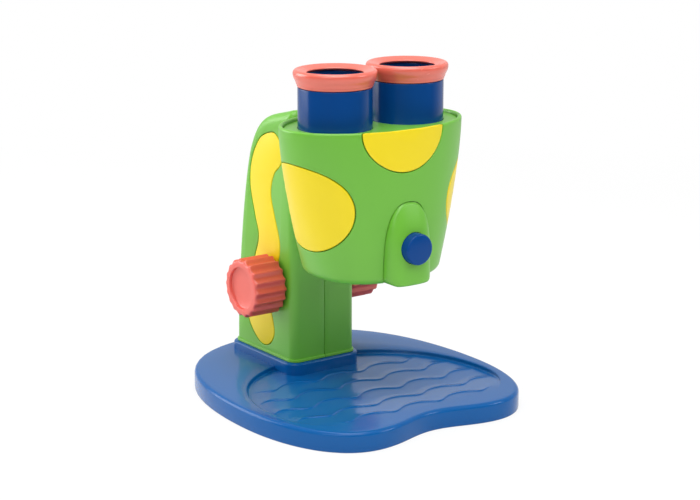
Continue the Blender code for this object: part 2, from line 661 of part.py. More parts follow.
def build_column_shell(side, word):
    inner = COLUMN_HALF - COLUMN_WALL
    into_wall = inner + COLUMN_WALL / 2
    seam = GAP / 2
    low_x, high_x = spread(side, seam, COLUMN_HALF)
    shell = prism(f"column_{word}_shell", "X", column_side(), low_x, high_x, home=PARTS)
    round_rim(shell, "X", side * COLUMN_HALF, COLUMN_ROUND, 2)
    flange = prism(f"foot_flange_{word}", "Z", column_footprint(FOOT_FLANGE_MARGIN), FOOT_Z,
                   FOOT_Z + FOOT_FLANGE_HEIGHT)
    far = COLUMN_WIDTH
    half = side_box(f"flange_half_{word}", side, seam, far, (-far, 0.0), (BASE_LENGTH, far))
    combine(flange, "INTERSECT", half)
    join(shell, flange)
    low_x, high_x = spread(side, -COLUMN_WALL, inner)
    cut(shell, prism(f"column_cavity_{word}", "X", column_side(COLUMN_WALL), low_x, high_x))

    rail_low = FOOT_Z + FOOT_BOSS_HEIGHT - COLUMN_WALL
    rail_high = COLUMN_TOP_Z - COLUMN_WALL - RAIL_TOP_CLEARANCE
    rail_front = GUIDE_BACK_Y + RUN
    wall_front = COLUMN_FRONT_Y + COLUMN_WALL / 2
    join(shell, side_box(f"rail_side_{word}", side, GUIDE_HALF_WIDTH + RUN, into_wall,
                         (wall_front, rail_low), (rail_front + RAIL_THICKNESS, rail_high)))
    join(shell, side_box(f"rail_back_{word}", side, GUIDE_HALF_WIDTH - RAIL_OVERLAP, into_wall,
                         (rail_front, rail_low), (rail_front + RAIL_THICKNESS, rail_high)))
    for k, (x, y) in enumerate(foot_screw_places(), 1):
        if x * side > 0:
            reach_front = wall_front if y < FOCUS_Y else y - FOOT_BOSS_HALF
            reach_back = y + FOOT_BOSS_HALF
            boss = side_box(f"foot_boss_{k}", side, FOOT_SCREW_X - FOOT_BOSS_HALF, into_wall,
                            (reach_front, FOOT_Z), (reach_back, FOOT_Z + FOOT_BOSS_HEIGHT))
            hole_top = FOOT_Z + FOOT_BOSS_HEIGHT - 2 * SCREW_RADIUS
            join(shell, boss)
            cut(shell, rod(f"foot_pilot_{k}", "Z", (x, y), 0.0, hole_top, SCREW_HOLE, HOLE_SIDES))

    axis = (FOCUS_Y, FOCUS_Z)
    bearing_end = PINION_FACE / 2 + BEARING_END_PLAY
    low_x, high_x = spread(side, bearing_end, into_wall)
    join(shell, rod(f"bearing_{word}", "X", axis, low_x, high_x, SHAFT_RADIUS + BEARING_WALL, 16))
    rib_reach = KNOB_HUB_RADIUS + RUN + BEARING_RIB
    join(shell, side_box(f"bearing_rib_{word}", side, bearing_end, into_wall,
                         (FOCUS_Y - BEARING_RIB / 2, FOCUS_Z - rib_reach),
                         (FOCUS_Y + BEARING_RIB / 2, FOCUS_Z + rib_reach)))
    for k, share in enumerate(COLUMN_SCREW_SHARES, 1):
        low_x, high_x = spread(side, seam, into_wall)
        join(shell, rod(f"screw_boss_{word}_{k}", "X", column_share(share), low_x, high_x,
                        COLUMN_SCREW_BOSS, HOLE_SIDES))

    low_x, high_x = spread(side, 0.0, COLUMN_WIDTH)
    cut(shell, rod(f"shaft_hole_{word}", "X", axis, low_x, high_x, SHAFT_RADIUS + GAP, 16))
    low_x, high_x = spread(side, inner, COLUMN_WIDTH)
    hub_hole = rod(f"hub_hole_{word}", "X", axis, low_x, high_x, KNOB_HUB_RADIUS + RUN, 20)
    cut(shell, hub_hole)
    low_x, high_x = spread(side, COLUMN_HALF - INLAY_THICKNESS - GAP, COLUMN_WIDTH)
    cut(shell, prism(f"inlay_seat_{word}", "X", inset(inlay_outline(), -GAP), low_x, high_x))
    half_slot = NECK_HALF_WIDTH + RUN
    reach = FOCUS_TRAVEL + RUN
    cut(shell, box(f"neck_slot_{word}",
                   (-half_slot, COLUMN_FRONT_Y - COLUMN_WALL, NECK_MID_Z - NECK_HEIGHT / 2 - reach),
                   (half_slot, COLUMN_FRONT_Y + 2 * COLUMN_WALL, NECK_MID_Z + NECK_HEIGHT / 2 + reach)))

    sunk = COLUMN_HALF - INLAY_THICKNESS - 2 * GAP - SCREW_HEAD
    for k, share in enumerate(COLUMN_SCREW_SHARES, 1):
        place = column_share(share)
        if side > 0:
            cut(shell, rod(f"screw_way_{k}", "X", place, -COLUMN_WALL, COLUMN_WIDTH, SCREW_HOLE, HOLE_SIDES))
            cut(shell, rod(f"screw_sink_{k}", "X", place, sunk - GAP, COLUMN_WIDTH, SCREW_SINK, HOLE_SIDES))
        else:
            cut(shell, rod(f"screw_pilot_{k}", "X", place, GAP + COLUMN_WALL - COLUMN_HALF, COLUMN_WALL,
                           SCREW_HOLE, HOLE_SIDES))
    dress(smooth(shell), GREEN, STAND)

    low_x, high_x = spread(side, COLUMN_HALF - INLAY_THICKNESS, COLUMN_HALF)
    inlay = prism(f"column_inlay_{word}", "X", inlay_outline(), low_x, high_x, home=PARTS)
    cut(inlay, hub_hole)
    dress(smooth(inlay), YELLOW, STAND)


def build_column_screws():
    seat = COLUMN_HALF - INLAY_THICKNESS - 2 * GAP - SCREW_HEAD
    length = seat + COLUMN_HALF - COLUMN_WALL - 2 * GAP
    for k, share in enumerate(COLUMN_SCREW_SHARES, 1):
        screw(f"column_screw_{k}", "X", column_share(share), seat, -length, STAND)


# Focus drive: shaft, pinion and two fluted knobs, which turn as one

def involute(angle):
    return math.tan(angle) - angle


def pinion_outline():
    """Involute teeth about the origin, with the middle of a gap towards -Y."""
    base_r = PITCH_RADIUS * math.cos(PRESSURE_ANGLE)
    tip_r = PITCH_RADIUS + GEAR_MODULE
    root_r = PITCH_RADIUS - 1.25 * GEAR_MODULE
    half_tooth = math.pi / (2 * PINION_TEETH) - GEAR_BACKLASH / (2 * PITCH_RADIUS)
    flank = [(root_r, half_tooth + involute(PRESSURE_ANGLE))]
    for radius in (PITCH_RADIUS, tip_r):
        slope = math.acos(min(base_r / radius, 1.0))
        flank.append((radius, half_tooth + involute(PRESSURE_ANGLE) - involute(slope)))
    points = []
    for tooth in range(PINION_TEETH):
        middle = 2 * math.pi * (tooth + 0.5) / PINION_TEETH
        rise = [(radius, middle - half) for radius, half in flank]
        fall = [(radius, middle + half) for radius, half in reversed(flank)]
        points += [(radius * math.cos(angle), radius * math.sin(angle)) for radius, angle in rise + fall]
    return points


def rack_outline(back_y):
    """The toothed bar in side view, with a tooth on the focus axis's level at rest."""
    pitch = math.pi * GEAR_MODULE
    pitch_y = FOCUS_Y - PITCH_RADIUS
    teeth_each_way = math.ceil(FOCUS_TRAVEL / pitch) + RACK_SPARE_TEETH
    tip, root = GEAR_MODULE, -1.25 * GEAR_MODULE
    half_tooth = (pitch / 2 - GEAR_BACKLASH) / 2
    half_tip = half_tooth - tip * math.tan(PRESSURE_ANGLE)
    half_root = half_tooth - root * math.tan(PRESSURE_ANGLE)
    low = FOCUS_Z - (teeth_each_way + 0.5) * pitch
    high = FOCUS_Z + (teeth_each_way + 0.5) * pitch
    points = [(back_y, low), (pitch_y + root, low)]
    for tooth in range(-teeth_each_way, teeth_each_way + 1):
        z = FOCUS_Z + tooth * pitch
        points += [(pitch_y + root, z - half_root), (pitch_y + tip, z - half_tip),
                   (pitch_y + tip, z + half_tip), (pitch_y + root, z + half_root)]
    return points + [(pitch_y + root, high), (back_y, high)]


def knob_outline():
    """A round outline with shallow scooped flutes."""
    points = []
    per_flute = 3
    for k in range(KNOB_FLUTES * per_flute):
        angle = 2 * math.pi * k / (KNOB_FLUTES * per_flute)
        scoop = abs(math.sin(KNOB_FLUTES * angle / 2))
        radius = KNOB_DIAMETER / 2 - KNOB_FLUTE_DEPTH * scoop
        points.append((FOCUS_Y + radius * math.cos(angle), FOCUS_Z + radius * math.sin(angle)))
    return points


def build_focus():
    axis = (FOCUS_Y, FOCUS_Z)
    knob_inner = COLUMN_HALF + KNOB_STANDOFF
    shaft_end = knob_inner + SHAFT_IN_KNOB
    shaft = rod("focus_shaft", "X", axis, -shaft_end, shaft_end, SHAFT_RADIUS, 16, home=PARTS)
    dress(smooth(shaft), STEEL, FOCUS)
    gear = [(FOCUS_Y + y, FOCUS_Z + z) for y, z in pinion_outline()]
    pinion = prism("focus_pinion", "X", gear, -PINION_FACE / 2, PINION_FACE / 2, home=PARTS)
    bore = SHAFT_RADIUS + PINION_BORE_CLEARANCE
    cut(pinion, rod("pinion_bore", "X", axis, -PINION_FACE, PINION_FACE, bore, 16))
    dress(smooth(pinion, 25.0), WHITE, FOCUS)
    for side, word in ((-1, "left"), (1, "right")):
        outer = knob_inner + KNOB_LENGTH
        low_x, high_x = spread(side, knob_inner, outer)
        knob = prism(f"focus_knob_{word}", "X", knob_outline(), low_x, high_x, home=PARTS)
        round_rim(knob, "X", side * outer, KNOB_EDGE_ROUND, 1)
        low_x, high_x = spread(side, outer - KNOB_FACE_DEPTH, outer + KNOB_LENGTH)
        cut(knob, rod(f"knob_face_{word}", "X", axis, low_x, high_x, KNOB_FACE_RADIUS, TURNED_SIDES))
        low_x, high_x = spread(side, COLUMN_HALF - COLUMN_WALL + RUN, knob_inner + KNOB_STANDOFF)
        join(knob, rod(f"knob_hub_{word}", "X", axis, low_x, high_x, KNOB_HUB_RADIUS, 20))
        low_x, high_x = spread(side, 0.0, shaft_end + GAP)
        cut(knob, rod(f"knob_bore_{word}", "X", axis, low_x, high_x, SHAFT_RADIUS + GAP, 16))
        dress(smooth(knob), CORAL, FOCUS)


# Carriage: guide plate and rack in the column, neck through its slot, flange on the head's back

def flange_screw_places():
    reach = NECK_HEIGHT / 2 + FLANGE_LIP - FLANGE_SCREW_INSET
    return [(x, NECK_MID_Z + rise) for x in (-FLANGE_SCREW_X, FLANGE_SCREW_X) for rise in (-reach, reach)]


def build_carriage():
    rack = rack_outline(GUIDE_FRONT_Y + GUIDE_THICKNESS / 2)
    low_z = min(z for y, z in rack)
    high_z = NECK_MID_Z + NECK_HEIGHT / 2
    carriage = box("focus_carriage", (-GUIDE_HALF_WIDTH, GUIDE_FRONT_Y, low_z),
                   (GUIDE_HALF_WIDTH, GUIDE_BACK_Y, high_z), home=PARTS)
    join(carriage, prism("rack_bar", "X", rack, -RACK_FACE / 2, RACK_FACE / 2))
    join(carriage, box("neck", (-NECK_HALF_WIDTH, FLANGE_BACK_Y - FLANGE_THICKNESS / 2, high_z - NECK_HEIGHT),
                       (NECK_HALF_WIDTH, GUIDE_FRONT_Y + GUIDE_THICKNESS / 2, high_z)))
    half_height = NECK_HEIGHT / 2 + FLANGE_LIP
    flange_front_y = FLANGE_BACK_Y - FLANGE_THICKNESS
    join(carriage, box("flange", (-FLANGE_HALF_WIDTH, flange_front_y, NECK_MID_Z - half_height),
                       (FLANGE_HALF_WIDTH, FLANGE_BACK_Y, NECK_MID_Z + half_height)))
    seat = FLANGE_BACK_Y - SCREW_HEAD
    for k, place in enumerate(flange_screw_places(), 1):
        cut(carriage, rod(f"flange_hole_{k}", "Y", place, PAD_Y, COLUMN_FRONT_Y, SCREW_HOLE, HOLE_SIDES))
        cut(carriage, rod(f"flange_sink_{k}", "Y", place, seat - GAP, COLUMN_FRONT_Y, SCREW_SINK, HOLE_SIDES))
        screw(f"carriage_screw_{k}", "Y", place, seat, PAD_Y - PAD_SCREW_DEPTH - seat, HEAD)
    dress(smooth(carriage), GREEN, HEAD)


# Head: a lofted housing with flush spots, a deck and a floor

def head_halves(z):
    """Half-length, half-depth and power of the head's section at a height."""
    drop = min(max((HEAD_TOP_Z - z) / HEAD_HEIGHT, 0.0), 1.0)
    half_x = HEAD_TOP_HALF_X + (HEAD_FOOT_HALF_X - HEAD_TOP_HALF_X) * drop ** HEAD_TAPER
    half_y = HEAD_TOP_HALF_Y + (HEAD_FOOT_HALF_Y - HEAD_TOP_HALF_Y) * drop
    power = HEAD_TOP_POWER + (HEAD_FOOT_POWER - HEAD_TOP_POWER) * drop
    return half_x, half_y, power


def head_ring(z, shrink):
    half_x, half_y, power = head_halves(z)
    return [(x, HEAD_Y + y, z) for x, y in oval(half_x - shrink, half_y - shrink, power, HEAD_SIDES)]


def head_solid(name, shrink=0.0, above=0.0, home=CUTTERS):
    """The head's outer form, moved inwards by a distance, with its lower edge rounded."""
    turn = HEAD_EDGE_ROUND
    low = HEAD_BOTTOM_Z + shrink
    rings = []
    for k in range(HEAD_EDGE_STEPS):
        angle = math.pi / 2 * k / HEAD_EDGE_STEPS
        rings.append(head_ring(low + turn * (1 - math.cos(angle)), shrink + turn * (1 - math.sin(angle))))
    lower = low + turn
    for k in range(HEAD_STEPS + 1):
        rings.append(head_ring(lower + (HEAD_TOP_Z - lower) * k / HEAD_STEPS, shrink))
    if above:
        rings.append(head_ring(HEAD_TOP_Z + above, shrink))
    return loft(name, rings, home)


def head_cavity():
    """The inside of the head: plain walls up to the ledge that the deck rests on, thinner above it."""
    ledge = DECK_UNDER_Z - GAP
    rings = [head_ring(HEAD_FLOOR_Z, HEAD_WALL + HEAD_EDGE_ROUND / 2)]
    lower = HEAD_FLOOR_Z + HEAD_EDGE_ROUND / 2
    for k in range(HEAD_STEPS + 1):
        rings.append(head_ring(lower + (ledge - lower) * k / HEAD_STEPS, HEAD_WALL))
    rings.append(head_ring(ledge, HEAD_RIM_WALL))
    rings.append(head_ring(HEAD_TOP_Z + HEAD_WALL, HEAD_RIM_WALL))
    return loft("head_cavity", rings)


def spot_cone(name, middle, half_angle, half_height, middle_z, grow, home=CUTTERS):
    """A cone from the head's axis that cuts an ellipse out of its wall, with a far end well outside."""
    apex = Vector((0.0, HEAD_Y, middle_z))
    shape = bmesh.new()
    tip = shape.verts.new(apex)
    ring = []
    for k in range(SPOT_POINTS):
        angle = 2 * math.pi * (k + 0.5) / SPOT_POINTS
        z = middle_z + (half_height + grow) * math.sin(angle)
        half_x, half_y, power = head_halves(z)
        turn = middle + (half_angle + grow / half_y) * math.cos(angle)
        reach = (abs(math.cos(turn) / half_x) ** power + abs(math.sin(turn) / half_y) ** power) ** (-1 / power)
        on_wall = Vector((reach * math.cos(turn), HEAD_Y + reach * math.sin(turn), z))
        ring.append(shape.verts.new(apex + (on_wall - apex) * SPOT_CONE_REACH))
    middle_far = HEAD_TOP_HALF_X * SPOT_CONE_REACH
    end = shape.verts.new(apex + Vector((math.cos(middle), math.sin(middle), 0.0)) * middle_far)
    for k, corner in enumerate(ring):
        follow = ring[(k + 1) % SPOT_POINTS]
        shape.faces.new((tip, corner, follow))
        shape.faces.new((end, follow, corner))
    bmesh.ops.recalc_face_normals(shape, faces=shape.faces)
    return from_bmesh(name, shape, home)


SPOTS = {
    "front": (FRONT_SPOT_TURN - math.pi / 2, FRONT_SPOT_HALF_ANGLE, FRONT_SPOT_HALF_HEIGHT,
              HEAD_TOP_Z - FRONT_SPOT_DROP),
    "left": (math.pi, SIDE_SPOT_HALF_ANGLE, SIDE_SPOT_HALF_HEIGHT, HEAD_TOP_Z - SIDE_SPOT_DROP),
    "right": (0.0, SIDE_SPOT_HALF_ANGLE, SIDE_SPOT_HALF_HEIGHT, HEAD_TOP_Z - SIDE_SPOT_DROP),
}


def nose_outline(shrink=0.0):
    """The arch of the light housing as (x, z) points, counter-clockwise from its right foot."""
    half = NOSE_HALF_WIDTH - shrink
    spring_z = NOSE_BOTTOM_Z + NOSE_HEIGHT - NOSE_ARCH
    arch = [(x, spring_z + z) for x, z in oval(half, NOSE_ARCH - shrink, NOSE_POWER, 28) if z > -1e-9]
    low = NOSE_BOTTOM_Z + shrink
    radius = max(NOSE_FOOT_ROUND - shrink, GAP)
    foot = [(half - radius * (1 - math.sin(turn)), low + radius * (1 - math.cos(turn)))
            for turn in (0.0, math.pi / 4, math.pi / 2)]
    return foot + arch + [(-x, z) for x, z in reversed(foot)]


def nose_block(name, shrink, back_y, home=CUTTERS):
    """The arch run back from its face, with the face rounded in plan and leaning back at its top."""
    face = NOSE_FACE_Y + shrink
    half = NOSE_HALF_WIDTH - shrink
    side_y = HEAD_Y - NOSE_SIDE_FRONT
    front = [(x, side_y - y) for x, y in oval(half, side_y - face, NOSE_PLAN_POWER, 24) if y > -1e-9]
    plan = front + [(-half, HEAD_Y + NOSE_FRONT), (half, HEAD_Y + NOSE_FRONT)]
    block = prism(name, "Y", nose_outline(shrink), face - NOSE_WALL, back_y, home)
    combine(block, "INTERSECT", prism(f"{name}_plan", "Z", plan, 0.0, HEAD_TOP_Z))
    cut(block, nose_slope(f"{name}_slope", shrink))
    return block


def nose_slope(name, shrink=0.0):
    """A wedge that takes the arch's front back to the head's wall towards its top."""
    face = NOSE_FACE_Y + shrink
    top = NOSE_BOTTOM_Z + NOSE_HEIGHT
    low = top - NOSE_SLOPE_HEIGHT
    slant = NOSE_SLOPE_DEPTH / NOSE_SLOPE_HEIGHT
    outline = [(face, low), (face + slant * (2 * NOSE_SLOPE_HEIGHT), low + 2 * NOSE_SLOPE_HEIGHT),
               (face - NOSE_FRONT, low + 2 * NOSE_SLOPE_HEIGHT), (face - NOSE_FRONT, low)]
    return prism(name, "X", outline, -2 * NOSE_HALF_WIDTH, 2 * NOSE_HALF_WIDTH)


def holder_corners(grow):
    half_x = 2 * CELL_RADIUS + 2 * GAP + grow
    half_y = CELL_RADIUS + GAP + grow
    middle = HEAD_Y + CELL_Y
    return (-half_x, middle - half_y), (half_x, middle + half_y)


def door_outline(grow):
    """The battery door: a plate under both cells with a tab for its screw."""
    (low_x, low_y), (high_x, high_y) = holder_corners(HOLDER_WALL / 2)
    middle = HEAD_Y + CELL_Y
    outline = [(low_x, low_y), (high_x, low_y), (high_x, middle - DOOR_TAB_HALF),
               (high_x + DOOR_TAB, middle - DOOR_TAB_HALF), (high_x + DOOR_TAB, middle + DOOR_TAB_HALF),
               (high_x, middle + DOOR_TAB_HALF), (high_x, high_y), (low_x, high_y)]
    return inset(outline, -grow)


def door_screw_place():
    return (holder_corners(HOLDER_WALL / 2)[1][0] + DOOR_TAB - DOOR_TAB_HALF, HEAD_Y + CELL_Y)


def build_head_shell():
    shell = head_solid("head_shell", home=PARTS)
    half_height = NECK_HEIGHT / 2 + FLANGE_LIP
    join(shell, box("head_pad", (-FLANGE_HALF_WIDTH, HEAD_Y, NECK_MID_Z - half_height),
                    (FLANGE_HALF_WIDTH, PAD_Y, NECK_MID_Z + half_height)))
    cut(shell, head_cavity())
    floor = head_solid("recess_floor", SPOT_THICKNESS + GAP, above=HEAD_WALL)
    for word, (turn, half_angle, half_height, z) in SPOTS.items():
        recess = spot_cone(f"spot_recess_{word}", turn, half_angle, half_height, z, GAP)
        cut(shell, cut(recess, floor))
    cut(shell, rod("objective_hole", "Z", (0.0, HEAD_Y), 0.0, DECK_Z, OBJECTIVE_RADIUS - OBJECTIVE_LIP, 24))
    window = SWITCH_HALF + BUTTON_TRAVEL
    cut(shell, box("light_window", (-window, NOSE_FACE_Y, NOSE_BOTTOM_Z + LED_LENGTH),
                   (window, HEAD_Y, BUTTON_Z + window)))
    for k, place in enumerate(flange_screw_places(), 1):
        cut(shell, rod(f"pad_pilot_{k}", "Y", place, PAD_Y - PAD_SCREW_DEPTH - GAP, COLUMN_FRONT_Y,
                       SCREW_HOLE, HOLE_SIDES))

    screw_place = door_screw_place()
    boss_top = HEAD_FLOOR_Z + DOOR_TAB
    join(shell, rod("door_boss", "Z", screw_place, HEAD_FLOOR_Z - HEAD_FLOOR / 2, boss_top,
                    DOOR_TAB_HALF - GAP, 14))
    low, high = holder_corners(0.0)
    cut(shell, box("cell_way", (*low, 0.0), (*high, HEAD_FLOOR_Z + HEAD_FLOOR)))
    cut(shell, prism("door_seat", "Z", door_outline(GAP), 0.0, HEAD_BOTTOM_Z + DOOR_THICKNESS + GAP))
    cut(shell, rod("door_pilot", "Z", screw_place, 0.0, boss_top - SCREW_RADIUS, SCREW_HOLE, HOLE_SIDES))
    dress(smooth(shell), GREEN, HEAD)


def build_spots():
    outer = head_solid("spot_outer")
    inner = head_solid("spot_inner", SPOT_THICKNESS, above=HEAD_WALL)
    for word, (turn, half_angle, half_height, z) in SPOTS.items():
        spot = spot_cone(f"spot_{word}", turn, half_angle, half_height, z, 0.0, home=PARTS)
        combine(spot, "INTERSECT", outer)
        cut(spot, inner)
        dress(smooth(spot), YELLOW, HEAD)


def build_deck():
    half_x, half_y, power = head_halves(DECK_Z)
    shrink = HEAD_RIM_WALL + GAP
    outline = [(x, HEAD_Y + y) for x, y in oval(half_x - shrink, half_y - shrink, power, HEAD_SIDES)]
    deck = prism("head_deck", "Z", outline, DECK_UNDER_Z, DECK_Z, home=PARTS)
    for side, word in ((-1, "left"), (1, "right")):
        cut(deck, rod(f"deck_hole_{word}", "Z", (side * EYE_SPACING / 2, HEAD_Y), 0.0, HEAD_TOP_Z,
                      BARREL_RADIUS + GAP, TURNED_SIDES))
    dress(smooth(deck), GREEN, HEAD)


# Eyepieces and objective

def lens_profile(radius, low, crown):
    """A lens with a flat edge and two crowned faces, down its outside."""
    high = low + LENS_THICKNESS
    rings = [(radius * share, crown * (1 - share ** 2)) for share in (0.0, 0.55, 1.0)]
    top = [(reach, high + bulge) for reach, bulge in rings]
    bottom = [(reach, low - bulge) for reach, bulge in reversed(rings)]
    return top + bottom


def eyecup_profile():
    """The eyecup's section: a soft bead round the barrel's neck with a lip over its top."""
    low = BARREL_TOP_Z + GAP
    high = low + EYECUP_HEIGHT
    inner = BARREL_RADIUS - NECK_STEP + GAP
    lip = NECK_TOP_Z + GAP
    bead = EYECUP_RADIUS
    bead_width = EYECUP_RADIUS - EYECUP_OPENING
    return [(EYECUP_OPENING, lip), (EYECUP_OPENING, high - 0.19 * EYECUP_HEIGHT),
            (bead - 0.32 * bead_width, high),
            (bead - 0.06 * bead_width, high - 0.12 * EYECUP_HEIGHT),
            (bead, high - 0.28 * EYECUP_HEIGHT), (bead - 0.1 * bead_width, high - 0.54 * EYECUP_HEIGHT),
            (BARREL_RADIUS, low), (inner, low), (inner, lip)]


def build_eyepieces():
    for side, word in ((-1, "left"), (1, "right")):
        centre = (side * EYE_SPACING / 2, HEAD_Y, 0.0)
        neck = BARREL_RADIUS - NECK_STEP
        flange_top = DECK_UNDER_Z - GAP
        flange_low = flange_top - BARREL_FLANGE_HEIGHT
        seat = LENS_Z - GAP
        lens_radius = BARREL_BORE - GAP
        profile = [(neck, NECK_TOP_Z), (neck, BARREL_TOP_Z), (BARREL_RADIUS, BARREL_TOP_Z),
                   (BARREL_RADIUS, flange_top), (BARREL_RADIUS + BARREL_FLANGE, flange_top),
                   (BARREL_RADIUS + BARREL_FLANGE, flange_low), (BARREL_BORE - LENS_SEAT, flange_low),
                   (BARREL_BORE - LENS_SEAT, seat), (BARREL_BORE, seat), (BARREL_BORE, NECK_TOP_Z)]
        dress(turned(f"eyepiece_barrel_{word}", profile, centre, closed=True), DEEP_BLUE, HEAD)
        dress(turned(f"eyecup_{word}", eyecup_profile(), centre, closed=True), CORAL, HEAD)
        dress(turned(f"eyepiece_lens_{word}", lens_profile(lens_radius, LENS_Z, LENS_CROWN), centre, sides=20),
              CLEAR, HEAD)


def build_objective():
    centre = (0.0, HEAD_Y, 0.0)
    low = HEAD_FLOOR_Z + GAP
    high = low + LENS_THICKNESS + GAP
    inner = OBJECTIVE_RADIUS + GAP
    outer = inner + OBJECTIVE_RING_WALL
    lip = OBJECTIVE_RADIUS - OBJECTIVE_LIP
    ring = [(outer, high + OBJECTIVE_LIP), (outer, low), (inner, low), (inner, high), (lip, high),
            (lip, high + OBJECTIVE_LIP)]
    dress(turned("objective_ring", ring, centre, sides=20, closed=True), BLACK, HEAD)
    lens = lens_profile(OBJECTIVE_RADIUS, low, OBJECTIVE_CROWN)
    dress(turned("objective_lens", lens, centre, sides=20), CLEAR, HEAD)


# Light: an arched housing on the head's front with the button, switch, board and lamp

def build_light_housing():
    back_y = HEAD_Y - HEAD_FOOT_HALF_Y + HEAD_WALL
    housing = nose_block("light_housing", 0.0, back_y, PARTS)
    cut(housing, head_solid("nose_back", -GAP), nose_block("nose_hollow", NOSE_WALL, HEAD_Y))
    cut(housing, rod("button_hole", "Y", (0.0, BUTTON_Z), NOSE_FACE_Y - BUTTON_PROUD,
                     NOSE_FACE_Y + BUTTON_FLANGE_INSET, BUTTON_RADIUS + GAP, TURNED_SIDES))
    cut(housing, rod("led_hole", "Z", (0.0, HEAD_Y - LED_FRONT), 0.0, HEAD_BOTTOM_Z + NOSE_WALL,
                     LED_RADIUS + GAP, 16))
    dress(smooth(housing), GREEN, HEAD)


def build_button():
    """The button's heights run from the nose's face: its own Z points out along -Y."""
    inside = -BUTTON_FLANGE_INSET
    stem_end = inside - BUTTON_FLANGE_THICKNESS - STEM_LENGTH
    profile = [(0.0, BUTTON_PROUD), (BUTTON_RADIUS - BUTTON_EDGE, BUTTON_PROUD),
               (BUTTON_RADIUS, BUTTON_PROUD - BUTTON_EDGE),
               (BUTTON_RADIUS, inside), (BUTTON_RADIUS + BUTTON_FLANGE, inside),
               (BUTTON_RADIUS + BUTTON_FLANGE, inside - BUTTON_FLANGE_THICKNESS),
               (STEM_RADIUS, inside - BUTTON_FLANGE_THICKNESS), (STEM_RADIUS, stem_end), (0.0, stem_end)]
    facing = (math.pi / 2, 0.0, 0.0)
    place = (0.0, NOSE_FACE_Y, BUTTON_Z)
    dress(turned("light_button", profile, place, turn=facing), DEEP_BLUE, BUTTON)
    top = stem_end - GAP
    end = top - PLUNGER_LENGTH
    plunger = [(0.0, top), (PLUNGER_RADIUS, top), (PLUNGER_RADIUS, end), (0.0, end)]
    dress(turned("switch_plunger", plunger, place, sides=12, turn=facing), BLACK, BUTTON)
    return NOSE_FACE_Y - end


def build_light_inside(plunger_end_y):
    """The switch round the plunger's end, the board behind it and the lamp in the nose's floor."""
    front = plunger_end_y - PLUNGER_IN_SWITCH
    back = front + SWITCH_DEPTH
    switch = box("light_switch", (-SWITCH_HALF, front, BUTTON_Z - SWITCH_HALF),
                 (SWITCH_HALF, back, BUTTON_Z + SWITCH_HALF), home=PARTS)
    cut(switch, rod("plunger_way", "Y", (0.0, BUTTON_Z), front - GAP, plunger_end_y + BUTTON_TRAVEL + GAP,
                    PLUNGER_RADIUS + GAP, 12))
    dress(smooth(switch), BLACK, HEAD)
    board_front = back + GAP
    board_low = BUTTON_Z - BOARD_HEIGHT / 2
    board = box("light_board", (-BOARD_HALF_WIDTH, board_front, board_low),
                (BOARD_HALF_WIDTH, board_front + BOARD_THICKNESS, board_low + BOARD_HEIGHT), home=PARTS)
    dress(board, BOARD_GREEN, HEAD)

    tip = NOSE_BOTTOM_Z + GAP
    top = tip + LED_LENGTH
    dome = [(LED_RADIUS * math.sin(math.radians(a)), tip + LED_RADIUS * (1 - math.cos(math.radians(a))))
            for a in (90, 60, 30, 0)]
    led = turned("light_led", [(0.0, top), (LED_RADIUS, top)] + dome, (0.0, HEAD_Y - LED_FRONT, 0.0), sides=14)
    lead_y = HEAD_Y - LED_FRONT
    bend_z = top + LED_LEAD_SPACING
    half = LED_LEAD / 2
    lead_end = board_front - GAP
    bent = [(lead_y - half, top - LED_LEAD), (lead_y + half, top - LED_LEAD),
            (lead_y + half, bend_z - LED_LEAD), (lead_end, bend_z - LED_LEAD),
            (lead_end, bend_z), (lead_y - half, bend_z)]
    for side, word in ((-1, "left"), (1, "right")):
        x = side * LED_LEAD_SPACING / 2
        join(led, prism(f"led_lead_{word}", "X", bent, x - half, x + half))
    dress(led, WHITE, HEAD)


# Battery box behind the optics, with a door in the head's floor

def build_battery():
    low_z = HEAD_FLOOR_Z + GAP
    cell_low = low_z + GAP
    cell_top = cell_low + CELL_LENGTH - CELL_NUB
    contact_z = cell_top + CELL_NUB + GAP
    low, high = holder_corners(HOLDER_WALL)
    top = contact_z + CONTACT_THICKNESS + GAP + HOLDER_WALL
    holder = box("battery_holder", (*low, low_z), (*high, top), home=PARTS)
    inner_low, inner_high = holder_corners(0.0)
    cut(holder, box("holder_inside", (*inner_low, 0.0), (*inner_high, top - HOLDER_WALL)))
    dress(holder, BLACK, HEAD)
    middle = HEAD_Y + CELL_Y
    for k, side in enumerate((-1, 1), 1):
        x = side * (CELL_RADIUS + GAP)
        nub_top = cell_top + CELL_NUB
        profile = [(0.0, nub_top), (CELL_NUB_RADIUS, nub_top), (CELL_NUB_RADIUS, cell_top),
                   (CELL_RADIUS, cell_top), (CELL_RADIUS, cell_low), (0.0, cell_low)]
        dress(turned(f"battery_cell_{k}", profile, (x, middle, 0.0), sides=16), STEEL, HEAD)
    (low_x, low_y), (high_x, high_y) = holder_corners(-GAP)
    contact = box("battery_contact", (low_x, low_y, contact_z),
                  (high_x, high_y, contact_z + CONTACT_THICKNESS), home=PARTS)
    dress(contact, STEEL, HEAD)
    door_top = HEAD_BOTTOM_Z + DOOR_THICKNESS
    door = prism("battery_door", "Z", door_outline(0.0), HEAD_BOTTOM_Z, door_top, home=PARTS)
    place = door_screw_place()
    cut(door, rod("door_hole", "Z", place, 0.0, HEAD_FLOOR_Z, SCREW_HOLE, HOLE_SIDES))
    cut(door, rod("door_sink", "Z", place, 0.0, HEAD_BOTTOM_Z + SCREW_HEAD + GAP, SCREW_SINK, HOLE_SIDES))
    dress(door, GREEN, HEAD)
    screw("battery_door_screw", "Z", place, HEAD_BOTTOM_Z + SCREW_HEAD, DOOR_TAB, HEAD)


